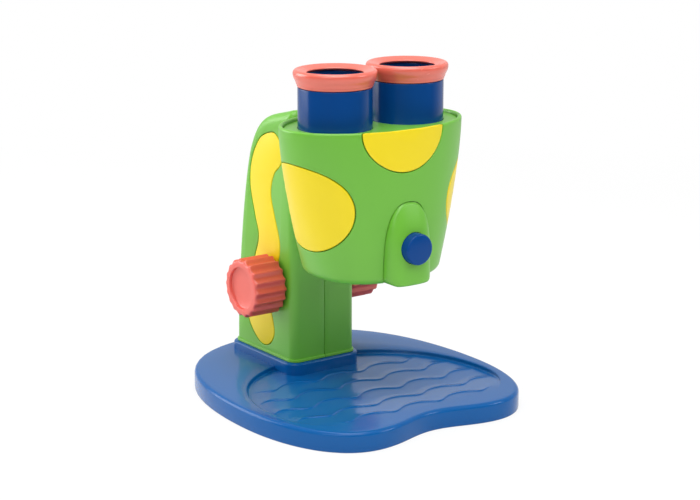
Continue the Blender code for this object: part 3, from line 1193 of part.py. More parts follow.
build_base()
build_column_shell(-1, "left")
build_column_shell(1, "right")
build_column_screws()
build_focus()
build_carriage()
build_head_shell()
build_spots()
build_deck()
build_eyepieces()
build_objective()
build_light_housing()
build_light_inside(build_button())
build_battery()
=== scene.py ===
import math

import bmesh
import bpy
import numpy
from mathutils import Matrix, Vector


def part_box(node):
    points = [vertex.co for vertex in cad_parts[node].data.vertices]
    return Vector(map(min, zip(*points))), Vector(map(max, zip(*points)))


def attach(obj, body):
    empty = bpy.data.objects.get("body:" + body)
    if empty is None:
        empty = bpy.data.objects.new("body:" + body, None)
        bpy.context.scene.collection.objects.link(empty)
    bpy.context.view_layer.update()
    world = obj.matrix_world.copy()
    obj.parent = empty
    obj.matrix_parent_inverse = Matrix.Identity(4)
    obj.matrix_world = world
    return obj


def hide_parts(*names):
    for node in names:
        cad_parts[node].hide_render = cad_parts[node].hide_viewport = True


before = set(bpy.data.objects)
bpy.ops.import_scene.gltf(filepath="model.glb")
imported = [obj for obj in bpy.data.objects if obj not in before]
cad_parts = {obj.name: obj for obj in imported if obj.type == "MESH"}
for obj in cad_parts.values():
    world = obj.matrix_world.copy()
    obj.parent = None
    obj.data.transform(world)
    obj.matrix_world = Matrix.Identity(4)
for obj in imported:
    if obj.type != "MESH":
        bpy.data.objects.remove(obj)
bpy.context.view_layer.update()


# Base plate
# One blue moulding, hollow underneath. A pond is sunk in its top and runs out level at the front, with
# five low waves across it. A collar at the back takes the column's foot.

# Lengths are in millimetres. An edge stays hard where its faces meet at more than an angle in degrees
MM = 0.001
GAP = 0.3
HARD_EDGE = 38.0
BASE_HARD_EDGE = 50.0
BASE_THICKNESS = 12.0
BASE_EDGE_ROUND = 2.5
BASE_FOOT_ROUND = 0.7
BASE_RIM = 3.5
BASE_HOLLOW = 6.4
BASE_WIDEST_Y = -19.4
BASE_LOBE_X = 42.5
BASE_NOTCH = 8.2
# Where the curves of the outline are pulled to: along the back, the side, the lobe and the notch
BASE_BACK_PULL_X = 62.8
BASE_SIDE_PULL_Y = (50.5, -58.5)
BASE_LOBE_PULL_X = (74.8, 25.3)
BASE_NOTCH_PULL_X = 14.9
BASE_TOP_SHARES = (0.35, 0.7)
COVER_THICKNESS = 2.0
POND_MARGIN = 8.4
POND_WIDEST_Y = -40.0
POND_BACK = 79.0
POND_FRONT = 54.0
POND_POWER = 2.2
POND_DEPTH = 2.5
POND_RISE_START_Y = -44.0
POND_RISE_END_Y = -80.0
POND_FRONT_ROW_Y = -82.0
POND_BACK_ROW_Y = 38.0
POND_COLUMNS = 96
POND_WALL_FOOT = 1.6
# The pond's wall: distance outwards from its foot, and the share of its height climbed there
POND_WALL = ((0.45, 0.07), (0.75, 0.25), (0.9, 0.52), (1.0, 0.78), (1.25, 0.93), (1.8, 1.0))
WAVE_FIRST_Y = 4.0
WAVE_SPACING = 19.75
WAVE_COUNT = 5
WAVE_LENGTH = 33.0
WAVE_CREST_X = -1.5
WAVE_SWAY = 3.2
WAVE_SKEW = 0.35
WAVE_CLEAR = 0.4
# Where a wave dies out: before the pond's ends in millimetres, before its border and sides in shares
WAVE_FADE_ENDS = 8.0
WAVE_FADE_BORDER = 0.14
WAVE_FADE_SIDES = 0.07
# A wave's section from front to back: distance behind its line, and rise above the pond's floor
WAVE_SECTION = ((-0.7, 0.0), (-0.4, 0.05), (-0.12, 0.34), (0.15, 0.55), (0.6, 0.58), (1.6, 0.44),
                (3.6, 0.2), (7.0, 0.0))
COLLAR_MARGIN = 3.2
COLLAR_EDGE_ROUND = 1.25
COLLAR_ROOT = 1.0
COLUMN_HALF_WIDTH = 23.7
COLUMN_FRONT_Y = 19.7
COLUMN_DEPTH = 66.5
COLUMN_ROUND = 5.5


def corners(node):
    """Lowest and highest corner of a CAD node, in millimetres."""
    low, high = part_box(node)
    return Vector(low) / MM, Vector(high) / MM


def bezier(start, start_pull, end_pull, end, steps):
    """Points along a cubic curve in the plane, without its last one."""
    points = []
    for k in range(steps):
        t = k / steps
        s = 1 - t
        points.append(Vector(start) * s ** 3 + Vector(start_pull) * (3 * s * s * t)
                      + Vector(end_pull) * (3 * s * t * t) + Vector(end) * t ** 3)
    return points


def ease(value):
    """0 below 0, 1 above 1, and a soft S between."""
    value = min(max(value, 0.0), 1.0)
    return value * value * (3 - 2 * value)


def settle(item, sharp=HARD_EDGE):
    """Smooth shading, with hard edges above an angle."""
    item.data.shade_smooth()
    item.data.set_sharp_from_angle(angle=math.radians(sharp))


def piece_from(name, shape, sharp=HARD_EDGE):
    """An object from a bmesh in millimetres, with doubled points merged and faces turned outwards."""
    bmesh.ops.remove_doubles(shape, verts=shape.verts, dist=1e-4)
    bmesh.ops.recalc_face_normals(shape, faces=shape.faces)
    bmesh.ops.scale(shape, vec=(MM, MM, MM), verts=shape.verts)
    mesh = bpy.data.meshes.new(name)
    shape.to_mesh(mesh)
    shape.free()
    item = bpy.data.objects.new(name, mesh)
    bpy.context.scene.collection.objects.link(item)
    settle(item, sharp)
    return item


def skin(shape, rings, loop=False, first_cap=True):
    """Faces between rings of points. A ring of one point closes in a fan, other open ends get a cap."""
    rows = [[shape.verts.new(point) for point in ring] for ring in rings]
    pairs = list(zip(rows, rows[1:]))
    if loop:
        pairs.append((rows[-1], rows[0]))
    for low, high in pairs:
        count = max(len(low), len(high))
        for k in range(count):
            follow = (k + 1) % count
            if len(low) == 1:
                shape.faces.new((low[0], high[follow], high[k]))
            elif len(high) == 1:
                shape.faces.new((low[k], low[follow], high[0]))
            else:
                shape.faces.new((low[k], low[follow], high[follow], high[k]))
    if not loop:
        for row in (rows[0], rows[-1]) if first_cap else (rows[-1],):
            if len(row) > 2:
                shape.faces.new(row)


def lofted(name, rings, loop=False, sharp=HARD_EDGE):
    """A piece from rings of points."""
    shape = bmesh.new()
    skin(shape, rings, loop)
    return piece_from(name, shape, sharp)


def carve(item, *tools, how="DIFFERENCE", sharp=HARD_EDGE):
    """Cuts or joins tools into an item for good, and removes them."""
    for tool in tools:
        step = item.modifiers.new("carve", "BOOLEAN")
        step.operation = how
        step.solver = "EXACT"
        step.object = tool
        graph = bpy.context.evaluated_depsgraph_get()
        mesh = bpy.data.meshes.new_from_object(item.evaluated_get(graph))
        item.modifiers.clear()
        item.data = mesh
        bpy.data.objects.remove(tool, do_unlink=True)
    settle(item, sharp)
    return item


def round_rectangle(low, high, radius, steps=8):
    """A rectangle with round corners as (x, y), anticlockwise."""
    points = []
    for corner_x, corner_y, start in ((high[0], low[1], -90), (high[0], high[1], 0),
                                      (low[0], high[1], 90), (low[0], low[1], 180)):
        centre_x = corner_x - math.copysign(radius, corner_x - (low[0] + high[0]) / 2)
        centre_y = corner_y - math.copysign(radius, corner_y - (low[1] + high[1]) / 2)
        for k in range(steps + 1):
            angle = math.radians(start + 90.0 * k / steps)
            points.append((centre_x + radius * math.cos(angle), centre_y + radius * math.sin(angle)))
    return points


def column_footprint(margin):
    """The column's outline from above, grown by a margin."""
    return round_rectangle((-COLUMN_HALF_WIDTH - margin, COLUMN_FRONT_Y - margin),
                           (COLUMN_HALF_WIDTH + margin, COLUMN_FRONT_Y + COLUMN_DEPTH + margin),
                           COLUMN_ROUND + margin)


def level(points, z):
    """Points laid at a height."""
    return [(point[0], point[1], z) for point in points]


def quarter(radius, steps):
    """A quarter round in even steps: what is still left to its side, and how far it has turned in."""
    turns = [math.pi / 2 * k / steps for k in range(steps + 1)]
    return [(radius * (1 - math.sin(turn)), radius * (1 - math.cos(turn))) for turn in turns]


def base_edge():
    """The base's outline, clockwise from the middle of its back: three curves a side."""
    low, high = corners("base_plate")
    side = (high.x, BASE_WIDEST_Y)
    lobe = (BASE_LOBE_X, low.y)
    notch = (0.0, low.y + BASE_NOTCH)
    right = bezier((0.0, high.y), (BASE_BACK_PULL_X, high.y), (high.x, BASE_SIDE_PULL_Y[0]), side, 90)
    right += bezier(side, (high.x, BASE_SIDE_PULL_Y[1]), (BASE_LOBE_PULL_X[0], low.y), lobe, 80)
    right += bezier(lobe, (BASE_LOBE_PULL_X[1], low.y), (BASE_NOTCH_PULL_X, notch[1]), notch, 50)
    left = [Vector((-point.x, point.y)) for point in reversed(right[1:])]
    return right + [Vector(notch)] + left


BASE_EDGE = base_edge()
BASE_BEARINGS = [math.atan2(point.x, point.y - POND_WIDEST_Y) % (2 * math.pi) for point in BASE_EDGE]


def edge_beyond(point):
    """The base's edge in the direction of a point of the pond, and its outward normal there."""
    bearing = math.atan2(point[0], point[1] - POND_WIDEST_Y) % (2 * math.pi)
    nudge = 1e-3
    found = []
    for shift in (-nudge, 0.0, nudge):
        found.append(Vector([numpy.interp(bearing + shift, BASE_BEARINGS, [p[axis] for p in BASE_EDGE],
                                          period=2 * math.pi) for axis in (0, 1)]))
    run = (found[2] - found[0]).normalized()
    return found[1], Vector((-run.y, run.x))


def edge_ring(edges, inset, z):
    """The base's outline, moved inwards and at a height."""
    return [(edge.x - normal.x * inset, edge.y - normal.y * inset, z) for edge, normal in edges]


def pond_share(y):
    """How far a row lies from the pond's widest line, as a share of the way to its end."""
    return abs(y - POND_WIDEST_Y) / (POND_BACK if y > POND_WIDEST_Y else POND_FRONT)


def pond_half_width(y):
    half = corners("base_plate")[1].x - POND_MARGIN
    return half * (1 - min(pond_share(y), 1.0) ** POND_POWER) ** (1 / POND_POWER)


def pond_depth(y):
    return POND_DEPTH * ease((y - POND_RISE_END_Y) / (POND_RISE_START_Y - POND_RISE_END_Y))


def pond_rows():
    """Rows of the pond's floor from front to back: each has its Y and its rise as part of a wave."""
    rows = {}
    turns = 44
    for k in range(turns + 1):
        turn = math.pi * (k / turns - 0.5)
        reach = POND_BACK if turn > 0 else POND_FRONT
        y = POND_WIDEST_Y + reach * math.sin(turn)
        if POND_FRONT_ROW_Y < y < POND_BACK_ROW_Y:
            rows[round(y, 3)] = 0.0
    for wave in range(WAVE_COUNT):
        line = WAVE_FIRST_Y - wave * WAVE_SPACING
        low, high = line + WAVE_SECTION[0][0], line + WAVE_SECTION[-1][0]
        rows = {y: rise for y, rise in rows.items() if not low - WAVE_CLEAR < y < high + WAVE_CLEAR}
        rows.update({round(line + back, 3): rise for back, rise in WAVE_SECTION})
    rows[POND_FRONT_ROW_Y] = 0.0
    rows[POND_BACK_ROW_Y] = 0.0
    return sorted(rows.items())


def wave_sway(x):
    """How far a wave's line stands behind its middle at a distance across the pond."""
    phase = 2 * math.pi * (x - WAVE_CREST_X) / WAVE_LENGTH
    return WAVE_SWAY * math.cos(phase - WAVE_SKEW * math.sin(phase))


def lay_pond_floor(shape):
    """Makes the pond's floor with its waves, and gives the places round its border."""
    widest = pond_half_width(POND_WIDEST_Y) - POND_WALL_FOOT
    floor = []
    for y, rise in pond_rows():
        line = []
        half = pond_half_width(y) - POND_WALL_FOOT
        from_ends = ease((y - POND_FRONT_ROW_Y) / WAVE_FADE_ENDS)
        from_ends *= ease((POND_BACK_ROW_Y - y) / WAVE_FADE_ENDS)
        for k in range(POND_COLUMNS + 1):
            share = math.sin(math.pi * (k / POND_COLUMNS - 0.5))
            x = half * share
            from_border = ease((1 - math.hypot(x / widest, pond_share(y))) / WAVE_FADE_BORDER)
            fade = from_border * ease((1 - abs(share)) / WAVE_FADE_SIDES) * from_ends
            there = y + wave_sway(x) * fade
            line.append(shape.verts.new((x, there, BASE_THICKNESS - pond_depth(there) + rise * fade)))
        floor.append(line)
    for front, back in zip(floor, floor[1:]):
        for k in range(POND_COLUMNS):
            shape.faces.new((front[k], front[k + 1], back[k + 1], back[k]))
    border = floor[0][:-1] + [line[-1] for line in floor[:-1]] + floor[-1][:0:-1]
    border += [line[0] for line in reversed(floor[1:])]
    return [vert.co.copy() for vert in border]


def build_base():
    shape = bmesh.new()
    border = lay_pond_floor(shape)
    edges = [edge_beyond(place) for place in border]
    rings = [border]
    for out, climbed in POND_WALL:
        ring = []
        for place, (edge, _) in zip(border, edges):
            away = (edge - place.xy).normalized() * out
            ring.append((place.x + away.x, place.y + away.y, place.z + (BASE_THICKNESS - place.z) * climbed))
        rings.append(ring)
    lip, brim = rings[-1], edge_ring(edges, BASE_EDGE_ROUND, BASE_THICKNESS)
    for share in BASE_TOP_SHARES:
        rings.append([Vector(inside).lerp(Vector(outside), share) for inside, outside in zip(lip, brim)])
    rings += [edge_ring(edges, inset, BASE_THICKNESS - drop) for inset, drop in quarter(BASE_EDGE_ROUND, 8)]
    rings.append(edge_ring(edges, 0.0, BASE_THICKNESS / 2))
    rings += [edge_ring(edges, inset, up) for up, inset in quarter(BASE_FOOT_ROUND, 3)]
    seat = COVER_THICKNESS + GAP
    for inset, z in ((BASE_RIM, 0.0), (BASE_RIM, seat), (2 * BASE_RIM, seat), (2 * BASE_RIM, BASE_HOLLOW)):
        rings.append(edge_ring(edges, inset, z))
    skin(shape, rings, first_cap=False)
    base = piece_from("base_moulding", shape, BASE_HARD_EDGE)

    top = corners("base_plate")[1].z
    collar = [level(column_footprint(COLLAR_MARGIN), BASE_HOLLOW + COLLAR_ROOT)]
    collar += [level(column_footprint(COLLAR_MARGIN - inset), top - drop)
               for drop, inset in quarter(COLLAR_EDGE_ROUND, 5)]
    return carve(base, lofted("collar", collar), how="UNION", sharp=BASE_HARD_EDGE)


class Signal:
    """A shader socket that can stand in a sum."""

    def __init__(self, nodes, socket):
        self.nodes = nodes
        self.socket = socket

    def sum_of(self, operation, *values):
        return self.nodes.node("ShaderNodeMath", {"operation": operation}, dict(enumerate(values)))

    def __add__(self, other):
        return self.sum_of("ADD", self, other)

    def __sub__(self, other):
        return self.sum_of("SUBTRACT", self, other)

    def __rsub__(self, other):
        return self.sum_of("SUBTRACT", other, self)

    def __mul__(self, other):
        return self.sum_of("MULTIPLY", self, other)

    def __truediv__(self, other):
        return self.sum_of("DIVIDE", self, other)

    def __rtruediv__(self, other):
        return self.sum_of("DIVIDE", other, self)

    def __or__(self, other):
        return self.sum_of("MAXIMUM", self, other)

    __radd__ = __add__
    __rmul__ = __mul__
    __ror__ = __or__


class Nodes:
    """A node tree that is written as sums of signals."""

    def __init__(self, tree):
        self.tree = tree

    def feed(self, socket, value):
        if isinstance(value, Signal):
            self.tree.links.new(value.socket, socket)
        else:
            socket.default_value = value

    def node(self, kind, settings=None, sockets=None, out=0):
        """A node of a kind with its settings and what feeds its sockets. Gives one of its outputs."""
        made = self.tree.nodes.new(kind)
        for key, value in (settings or {}).items():
            if key == "stops":
                for stop, (position, grey) in zip(made.color_ramp.elements, value):
                    stop.position = position
                    stop.color = (grey, grey, grey, 1.0)
            else:
                setattr(made, key, value)
        for key, value in (sockets or {}).items():
            self.feed(made.inputs[key], value)
        return Signal(self, made.outputs[out])

    def mix(self, factor, first, second):
        return self.node("ShaderNodeMix", {"data_type": "RGBA"}, {0: factor, 6: first, 7: second}, 2)

    def ramp(self, value, *stops):
        return self.node("ShaderNodeValToRGB", {"stops": stops}, {"Fac": value})


class Finish(Nodes):
    """A material that ends in its Principled shader. Constants go on the shader's own sockets."""

    def __init__(self, name, **constants):
        self.material = bpy.data.materials.new(name)
        self.material.use_nodes = True
        super().__init__(self.material.node_tree)
        self.shader = self.tree.nodes["Principled BSDF"]
        self.place = self.node("ShaderNodeTexCoord", out="Object")
        for socket, value in constants.items():
            self.shader.inputs[socket.replace("_", " ").title().replace("Ior", "IOR")].default_value = value

    def noise(self, scale, detail=2.0, place=None):
        """Soft noise, with its scale in waves to a metre."""
        sockets = {"Vector": place or self.place, "Scale": scale, "Detail": detail}
        return self.node("ShaderNodeTexNoise", {}, sockets, "Fac")

    def shade(self, colour, roughness=None, height=None, bump=0.0, depth=0.0001):
        """Feeds the shader, a height as bump, and gives the material."""
        self.feed(self.shader.inputs["Base Color"], colour)
        if roughness is not None:
            self.feed(self.shader.inputs["Roughness"], roughness)
        if height is not None:
            normal = self.node("ShaderNodeBump", {}, {"Strength": bump, "Distance": depth, "Height": height})
            self.feed(self.shader.inputs["Normal"], normal)
        return self.material


def ink(red, green, blue, strength=1.0):
    """A colour as seen on a screen, 0 to 255, as the linear colour of a shader."""
    linear = []
    for part in (red, green, blue):
        part = min(part * strength, 255) / 255
        linear.append(part / 12.92 if part <= 0.04045 else ((part + 0.055) / 1.055) ** 2.4)
    return (*linear, 1.0)


def moulded(name, colour, roughness, grain=0.12, cloud=0.06, scuffs=0.1, **constants):
    """Moulded plastic: a faint cloud in the colour, a fine spark-eroded grain, and light handling scuffs."""
    finish = Finish(name, **constants)
    drift = finish.noise(32.0, 3.0)
    fleck = finish.noise(900.0)
    shift = (drift - 0.5) * cloud * 4 + (fleck - 0.5) * cloud
    lighter = ink(*colour, 1.0 + cloud)
    darker = ink(*colour, 1.0 - cloud)
    stretch = {"Vector": finish.place, "Rotation": (0.5, 0.9, 0.4), "Scale": (60.0, 900.0, 420.0)}
    stretched = finish.node("ShaderNodeMapping", {"vector_type": "POINT"}, stretch)
    streaks = finish.noise(1.0, 4.0, stretched)
    patches = finish.noise(46.0)
    scuffed = finish.ramp(streaks, (0.62, 0.0), (0.78, 1.0)) * finish.ramp(patches, (0.5, 0.0), (0.7, 1.0))
    peel = finish.noise(420.0)
    pits = finish.noise(2600.0, 1.0)
    return finish.shade(finish.mix(shift + 0.5, darker, lighter),
                        roughness + (drift - 0.5) * 0.1 + scuffed * scuffs,
                        peel * 0.5 + pits * 0.5, grain)


def paint(item, finish):
    item.data.materials.clear()
    item.data.materials.append(finish)


def fit(piece, finish, body, slot, *nodes):
    """Gives a piece its finish, hides the nodes that it stands for, and hangs it on the body that it moves
    with.
    """
    paint(piece, finish)
    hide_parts(*nodes)
    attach(piece, body)


POND_BLUE = (8, 88, 156)
pond_blue = moulded("pond_blue_moulding", POND_BLUE, 0.19, grain=0.1, cloud=0.05, scuffs=0.03,
                    specular_ior_level=0.25)
fit(build_base(), pond_blue, "stand", "base_blue", "base_plate")


# Base cover
# A flat blue plate that closes the hollow underside, let in flush with the base's rim. Four screws near its
# quarters hold it, with their heads sunk in.

COVER_EDGE_ROUND = 0.4
COVER_SIDES = 240
SCREW_SINK = 2.9
SCREW_SINK_DEPTH = 1.7
SCREW_WAY = 1.7
COVER_CUT_PAST = 1.0
EDGE_BREAK = 0.3


def middle(node):
    """The middle of a CAD node's box, in millimetres."""
    low, high = corners(node)
    return (low + high) / 2


def even_turns(count):
    """Angles in even steps round a circle."""
    return [2 * math.pi * k / count for k in range(count)]


def turned(name, section, centre, axis="Z", sides=128, loop=True, sharp=HARD_EDGE):
    """A turned piece from its section as (radius, distance along its axis)."""
    rings = []
    for radius, along in section:
        ring = []
        for turn in even_turns(sides if radius > 0 else 1):
            over, up = centre[0] + radius * math.cos(turn), centre[1] + radius * math.sin(turn)
            ring.append({"X": (along, over, up), "Y": (over, along, up), "Z": (over, up, along)}[axis])
        rings.append(ring)
    return lofted(name, rings, loop, sharp)


def disc(name, centre, low, high, radius, axis="Z", sides=48):
    """A round tool along an axis, for cutting and joining."""
    return turned(name, [(radius, low), (radius, high)], centre, axis, sides, loop=False)


def broken(radius):
    """A small edge broken in two steps: what is still left to its side, and how far it has turned in."""
    return ((radius, 0.0), (EDGE_BREAK * radius, EDGE_BREAK * radius), (0.0, radius))


def build_cover():
    places = [(math.sin(turn), POND_WIDEST_Y + math.cos(turn)) for turn in even_turns(COVER_SIDES)]
    edges = [edge_beyond(place) for place in places]
    inset = BASE_RIM + GAP
    rings = [edge_ring(edges, inset, COVER_THICKNESS)]
    rings += [edge_ring(edges, inset + inwards, up) for up, inwards in broken(COVER_EDGE_ROUND)]
    cover = lofted("base_cover_plate", rings)
    for k in range(1, 5):
        place = middle(f"base_cover_screw_{k}").xy
        carve(cover, disc("cover_sink", place, -COVER_CUT_PAST, SCREW_SINK_DEPTH, SCREW_SINK),
              disc("cover_way", place, -COVER_CUT_PAST, COVER_THICKNESS + COVER_CUT_PAST, SCREW_WAY))
    return cover


fit(build_cover(), pond_blue, "stand", "base_blue", "base_cover")


# Screws
# Small self-tapping steel screws with a low domed head, a cross recess and a coarse thread.
# They hold the base's cover, the column's foot and halves, the carriage and the battery door.

SCREW_HEAD_RADIUS = 2.6
SCREW_HEAD = 1.4
SCREW_RADIUS = 1.4
THREAD_PITCH = 1.2
THREAD_HEIGHT = 0.32
SCREW_SIDES = 24
SCREW_HARD_EDGE = 50.0
SCREW_DOME = 0.45
SCREW_DOME_SHARES = (0.35, 0.7, 0.88, 0.97, 1.0)
SCREW_TIP = 0.12
THREAD_STEPS = 5
RECESS_LENGTH = 1.5
RECESS_WIDTH = 0.3
RECESS_DEPTH = 0.8
RECESS_PROUD = 1.0
RECESS_TAPER = 0.8
RECESS_ROUND = 0.9


def build_screw(name, length):
    """A screw that points down, with the top of its head at the origin."""
    turns = even_turns(SCREW_SIDES)
    rings = [[(0.0, 0.0, 0.0)]]
    for share in SCREW_DOME_SHARES:
        radius = SCREW_HEAD_RADIUS * share
        z = -SCREW_DOME * SCREW_HEAD * (1 - math.sqrt(1 - share ** 2))
        rings.append([(radius * math.cos(turn), radius * math.sin(turn), z) for turn in turns])
    rings.append(level(rings[-1], -SCREW_HEAD))
    shank = length - SCREW_HEAD
    steps = int(shank / (THREAD_PITCH / THREAD_STEPS))
    for step in range(steps + 1):
        z = -SCREW_HEAD - shank * step / steps
        point = ease((z + length) / (2 * SCREW_RADIUS))
        ring = []
        for k, turn in enumerate(turns):
            climb = abs(((z / THREAD_PITCH + k / SCREW_SIDES) % 1.0) - 0.5) * 2
            radius = (SCREW_RADIUS - THREAD_HEIGHT * climb) * (SCREW_TIP + (1 - SCREW_TIP) * point)
            ring.append((radius * math.cos(turn), radius * math.sin(turn), z))
        rings.append(ring)
    item = lofted(name, rings, sharp=SCREW_HARD_EDGE)
    for half_x, half_y in ((RECESS_LENGTH, RECESS_WIDTH), (RECESS_WIDTH, RECESS_LENGTH)):
        outline = round_rectangle((-half_x, -half_y), (half_x, half_y), RECESS_ROUND * RECESS_WIDTH, 3)
        tapered = [(RECESS_TAPER * x, RECESS_TAPER * y) for x, y in outline]
        recess = lofted("recess", [level(tapered, -RECESS_DEPTH), level(outline, RECESS_PROUD)])
        carve(item, recess, sharp=SCREW_HARD_EDGE)
    return item


def steel_finish():
    """Zinc-plated steel: fine turning lines across a bright grey, a little duller in patches."""
    finish = Finish("plated_steel", metallic=1.0)
    patches = finish.noise(240.0, 4.0)
    fine = finish.noise(3200.0)
    return finish.shade(finish.mix(patches, ink(150, 153, 158), ink(205, 207, 210)),
                        0.26 + patches * 0.16, fine, 0.08, 0.00005)


plated_steel = steel_finish()
# Each set of screws: its nodes, their count, the axis they lie along, the way they point, and their body
SCREW_SETS = (("base_cover_screw", 4, "Z", 1, "stand"), ("foot_screw", 4, "Z", 1, "stand"),
              ("column_screw", 3, "X", -1, "stand"), ("carriage_screw", 4, "Y", -1, "head"),
              ("battery_door_screw", 1, "Z", 1, "head"))
for stem, count, axis, points, body in SCREW_SETS:
    for k in range(1, count + 1):
        node = f"{stem}_{k}" if count > 1 else stem
        low, high = corners(node)
        along = "XYZ".index(axis)
        fastener = build_screw(node + "_cross", high[along] - low[along])
        turn = {"X": Matrix.Rotation(math.pi / 2 * -points, 4, "Y"),
                "Y": Matrix.Rotation(math.pi / 2 * points, 4, "X"),
                "Z": Matrix.Rotation(math.pi, 4, "X") if points > 0 else Matrix.Identity(4)}[axis]
        place = middle(node)
        place[along] = low[along] if points > 0 else high[along]
        fastener.data.transform(Matrix.Translation(place * MM) @ turn)
        fit(fastener, plated_steel, body, "steel", node)


# Column halves
# Two green shells that meet on the middle plane, with a fine line between them. Screws under the inlays
# draw them together, a slot in the front lets the carriage through, and the foot has a low lip.

COLUMN_TOP_Z = 176.3
COLUMN_FOOT_Z = 17.3
COLUMN_BELOW_FOOT = 9.0
COLUMN_WALL = 3.0
COLUMN_FRONT_TURN = 7.0
COLUMN_TOP_SLOPE = math.radians(15.5)
SHOULDER_DEPTH = 48.2
SHOULDER_Z = 148.5
SHOULDER_LEAN = math.radians(115.0)
MITRE_LIMIT = 0.4
SEAM_HALF = 0.15
SEAM_ROUND = 0.35
FOOT_LIP_MARGIN = 0.9
FOOT_LIP_HEIGHT = 1.6
FOOT_LIP_ROUND = 0.5
# How far the curves of the side view are pulled: at the front's turn, the top, the shoulder and the heel
FRONT_TURN_PULL = 0.6
TOP_PULL = 22.0
SHOULDER_PULLS = (24.0, 20.0)
HEEL_PULL = 42.0
COLUMN_CUT_PAST = 2.0
COLUMN_FRONT_STEPS = 24
COLUMN_FLOOR_STEPS = 12
COLUMN_SIDE_SHARES = (0.25, 0.5, 0.75)
SIDES = ((-1, "left"), (1, "right"))
INLAY_THICKNESS = 1.5
# The rolled edge of a seat for a yellow plate: depth below the surface, and how much wider the seat is there
SEAT_ROLL = ((0.35, 0.0), (0.17, 0.05), (0.06, 0.16), (0.0, 0.35))
# The wavy inlay's outline, as shares of the column's depth and of its height above the foot
INLAY_WAVE = (
    (0.35, 0.893), (0.53, 0.86), (0.67, 0.772), (0.707, 0.665), (0.63, 0.545), (0.573, 0.464),
    (0.64, 0.38), (0.75, 0.256), (0.785, 0.16), (0.735, 0.09), (0.57, 0.031), (0.42, 0.033),
    (0.325, 0.08), (0.335, 0.132), (0.375, 0.19), (0.37, 0.27), (0.25, 0.375), (0.215, 0.464),
    (0.30, 0.57), (0.355, 0.652), (0.30, 0.73), (0.185, 0.778), (0.165, 0.842), (0.25, 0.886),
)
HUB_HOLE_RADIUS = 7.6
NECK_SLOT_HALF = 7.1
NECK_SLOT_Z = (95.9, 163.1)
NECK_SLOT_ROUND = 1.2


def inset_line(outline, distance):
    """A closed outline moved to its right by a distance."""
    count = len(outline)
    moved = []
    for k in range(count):
        before = (outline[k] - outline[k - 1]).normalized()
        after = (outline[(k + 1) % count] - outline[k]).normalized()
        side = Vector((before.y + after.y, -before.x - after.x))
        moved.append(outline[k] + side * (distance / max(1 + before.dot(after), MITRE_LIMIT)))
    return moved


def column_outline():
    """The side view as (y, z), from below the front foot up over the top and down the back."""
    slope = Vector((math.cos(COLUMN_TOP_SLOPE), -math.sin(COLUMN_TOP_SLOPE)))
    lean = Vector((math.cos(SHOULDER_LEAN), math.sin(SHOULDER_LEAN)))
    ridge = Vector((0.0, COLUMN_TOP_Z)) + slope * COLUMN_FRONT_TURN
    shoulder = Vector((SHOULDER_DEPTH, SHOULDER_Z))
    heel = Vector((COLUMN_DEPTH, COLUMN_FOOT_Z))
    turn_z = COLUMN_TOP_Z - COLUMN_FRONT_TURN
    below = COLUMN_FOOT_Z - COLUMN_BELOW_FOOT
    line = [Vector((0.0, below + (turn_z - below) * k / COLUMN_FRONT_STEPS))
            for k in range(COLUMN_FRONT_STEPS)]
    pull = COLUMN_FRONT_TURN * FRONT_TURN_PULL
    line += bezier((0.0, turn_z), (0.0, turn_z + pull), ridge - slope * pull, ridge, 12)
    line += bezier(ridge, ridge + slope * TOP_PULL, shoulder + lean * SHOULDER_PULLS[0], shoulder, 36)
    line += bezier(shoulder, shoulder - lean * SHOULDER_PULLS[1], heel + Vector((0.0, HEEL_PULL)), heel, 40)
    line += [heel, Vector((COLUMN_DEPTH, below))]
    line += [Vector((COLUMN_DEPTH * (1 - k / COLUMN_FLOOR_STEPS), below))
             for k in range(1, COLUMN_FLOOR_STEPS)]
    return [Vector((COLUMN_FRONT_Y + y, z)) for y, z in line]


def inlay_outline():
    """A smooth closed curve through the inlay's points, as (y, z)."""
    height = COLUMN_TOP_Z - COLUMN_FOOT_Z
    points = [Vector((COLUMN_FRONT_Y + COLUMN_DEPTH * deep, COLUMN_FOOT_Z + height * up))
              for deep, up in INLAY_WAVE]
    line = []
    for k, start in enumerate(points):
        end, after = points[(k + 1) % len(points)], points[(k + 2) % len(points)]
        line += bezier(start, start + (end - points[k - 1]) / 6, end - (after - start) / 6, end, 7)
    return line


def block(name, low, high, round_edge=0.01):
    """A tool with square ends across X, and round corners in its (y, z) section."""
    outline = round_rectangle(low[1:], high[1:], round_edge, 4)
    return lofted(name, [[(x, y, z) for y, z in outline] for x in (low[0], high[0])])


def across(side, outline, x):
    """A (y, z) outline stood at a distance to one side of the middle."""
    return [(side * x, y, z) for y, z in outline]


def cut_off(shape, place, towards):
    """Removes what lies behind a plane, and gives the edges that this leaves open."""
    everything = shape.verts[:] + shape.edges[:] + shape.faces[:]
    bmesh.ops.bisect_plane(shape, geom=everything, dist=1e-5, plane_co=place, plane_no=towards,
                           clear_inner=True)
    return [edge for edge in shape.edges if edge.is_boundary]


def hub_hole(side, word):
    """The tool for the hole in the column's side that a knob's hub passes through."""
    reach = (COLUMN_HALF_WIDTH - COLUMN_WALL - COLUMN_CUT_PAST, COLUMN_HALF_WIDTH + COLUMN_CUT_PAST)
    low, high = sorted(side * x for x in reach)
    return disc("hub_hole", middle(f"focus_knob_{word}").yz, low, high, HUB_HOLE_RADIUS, "X")


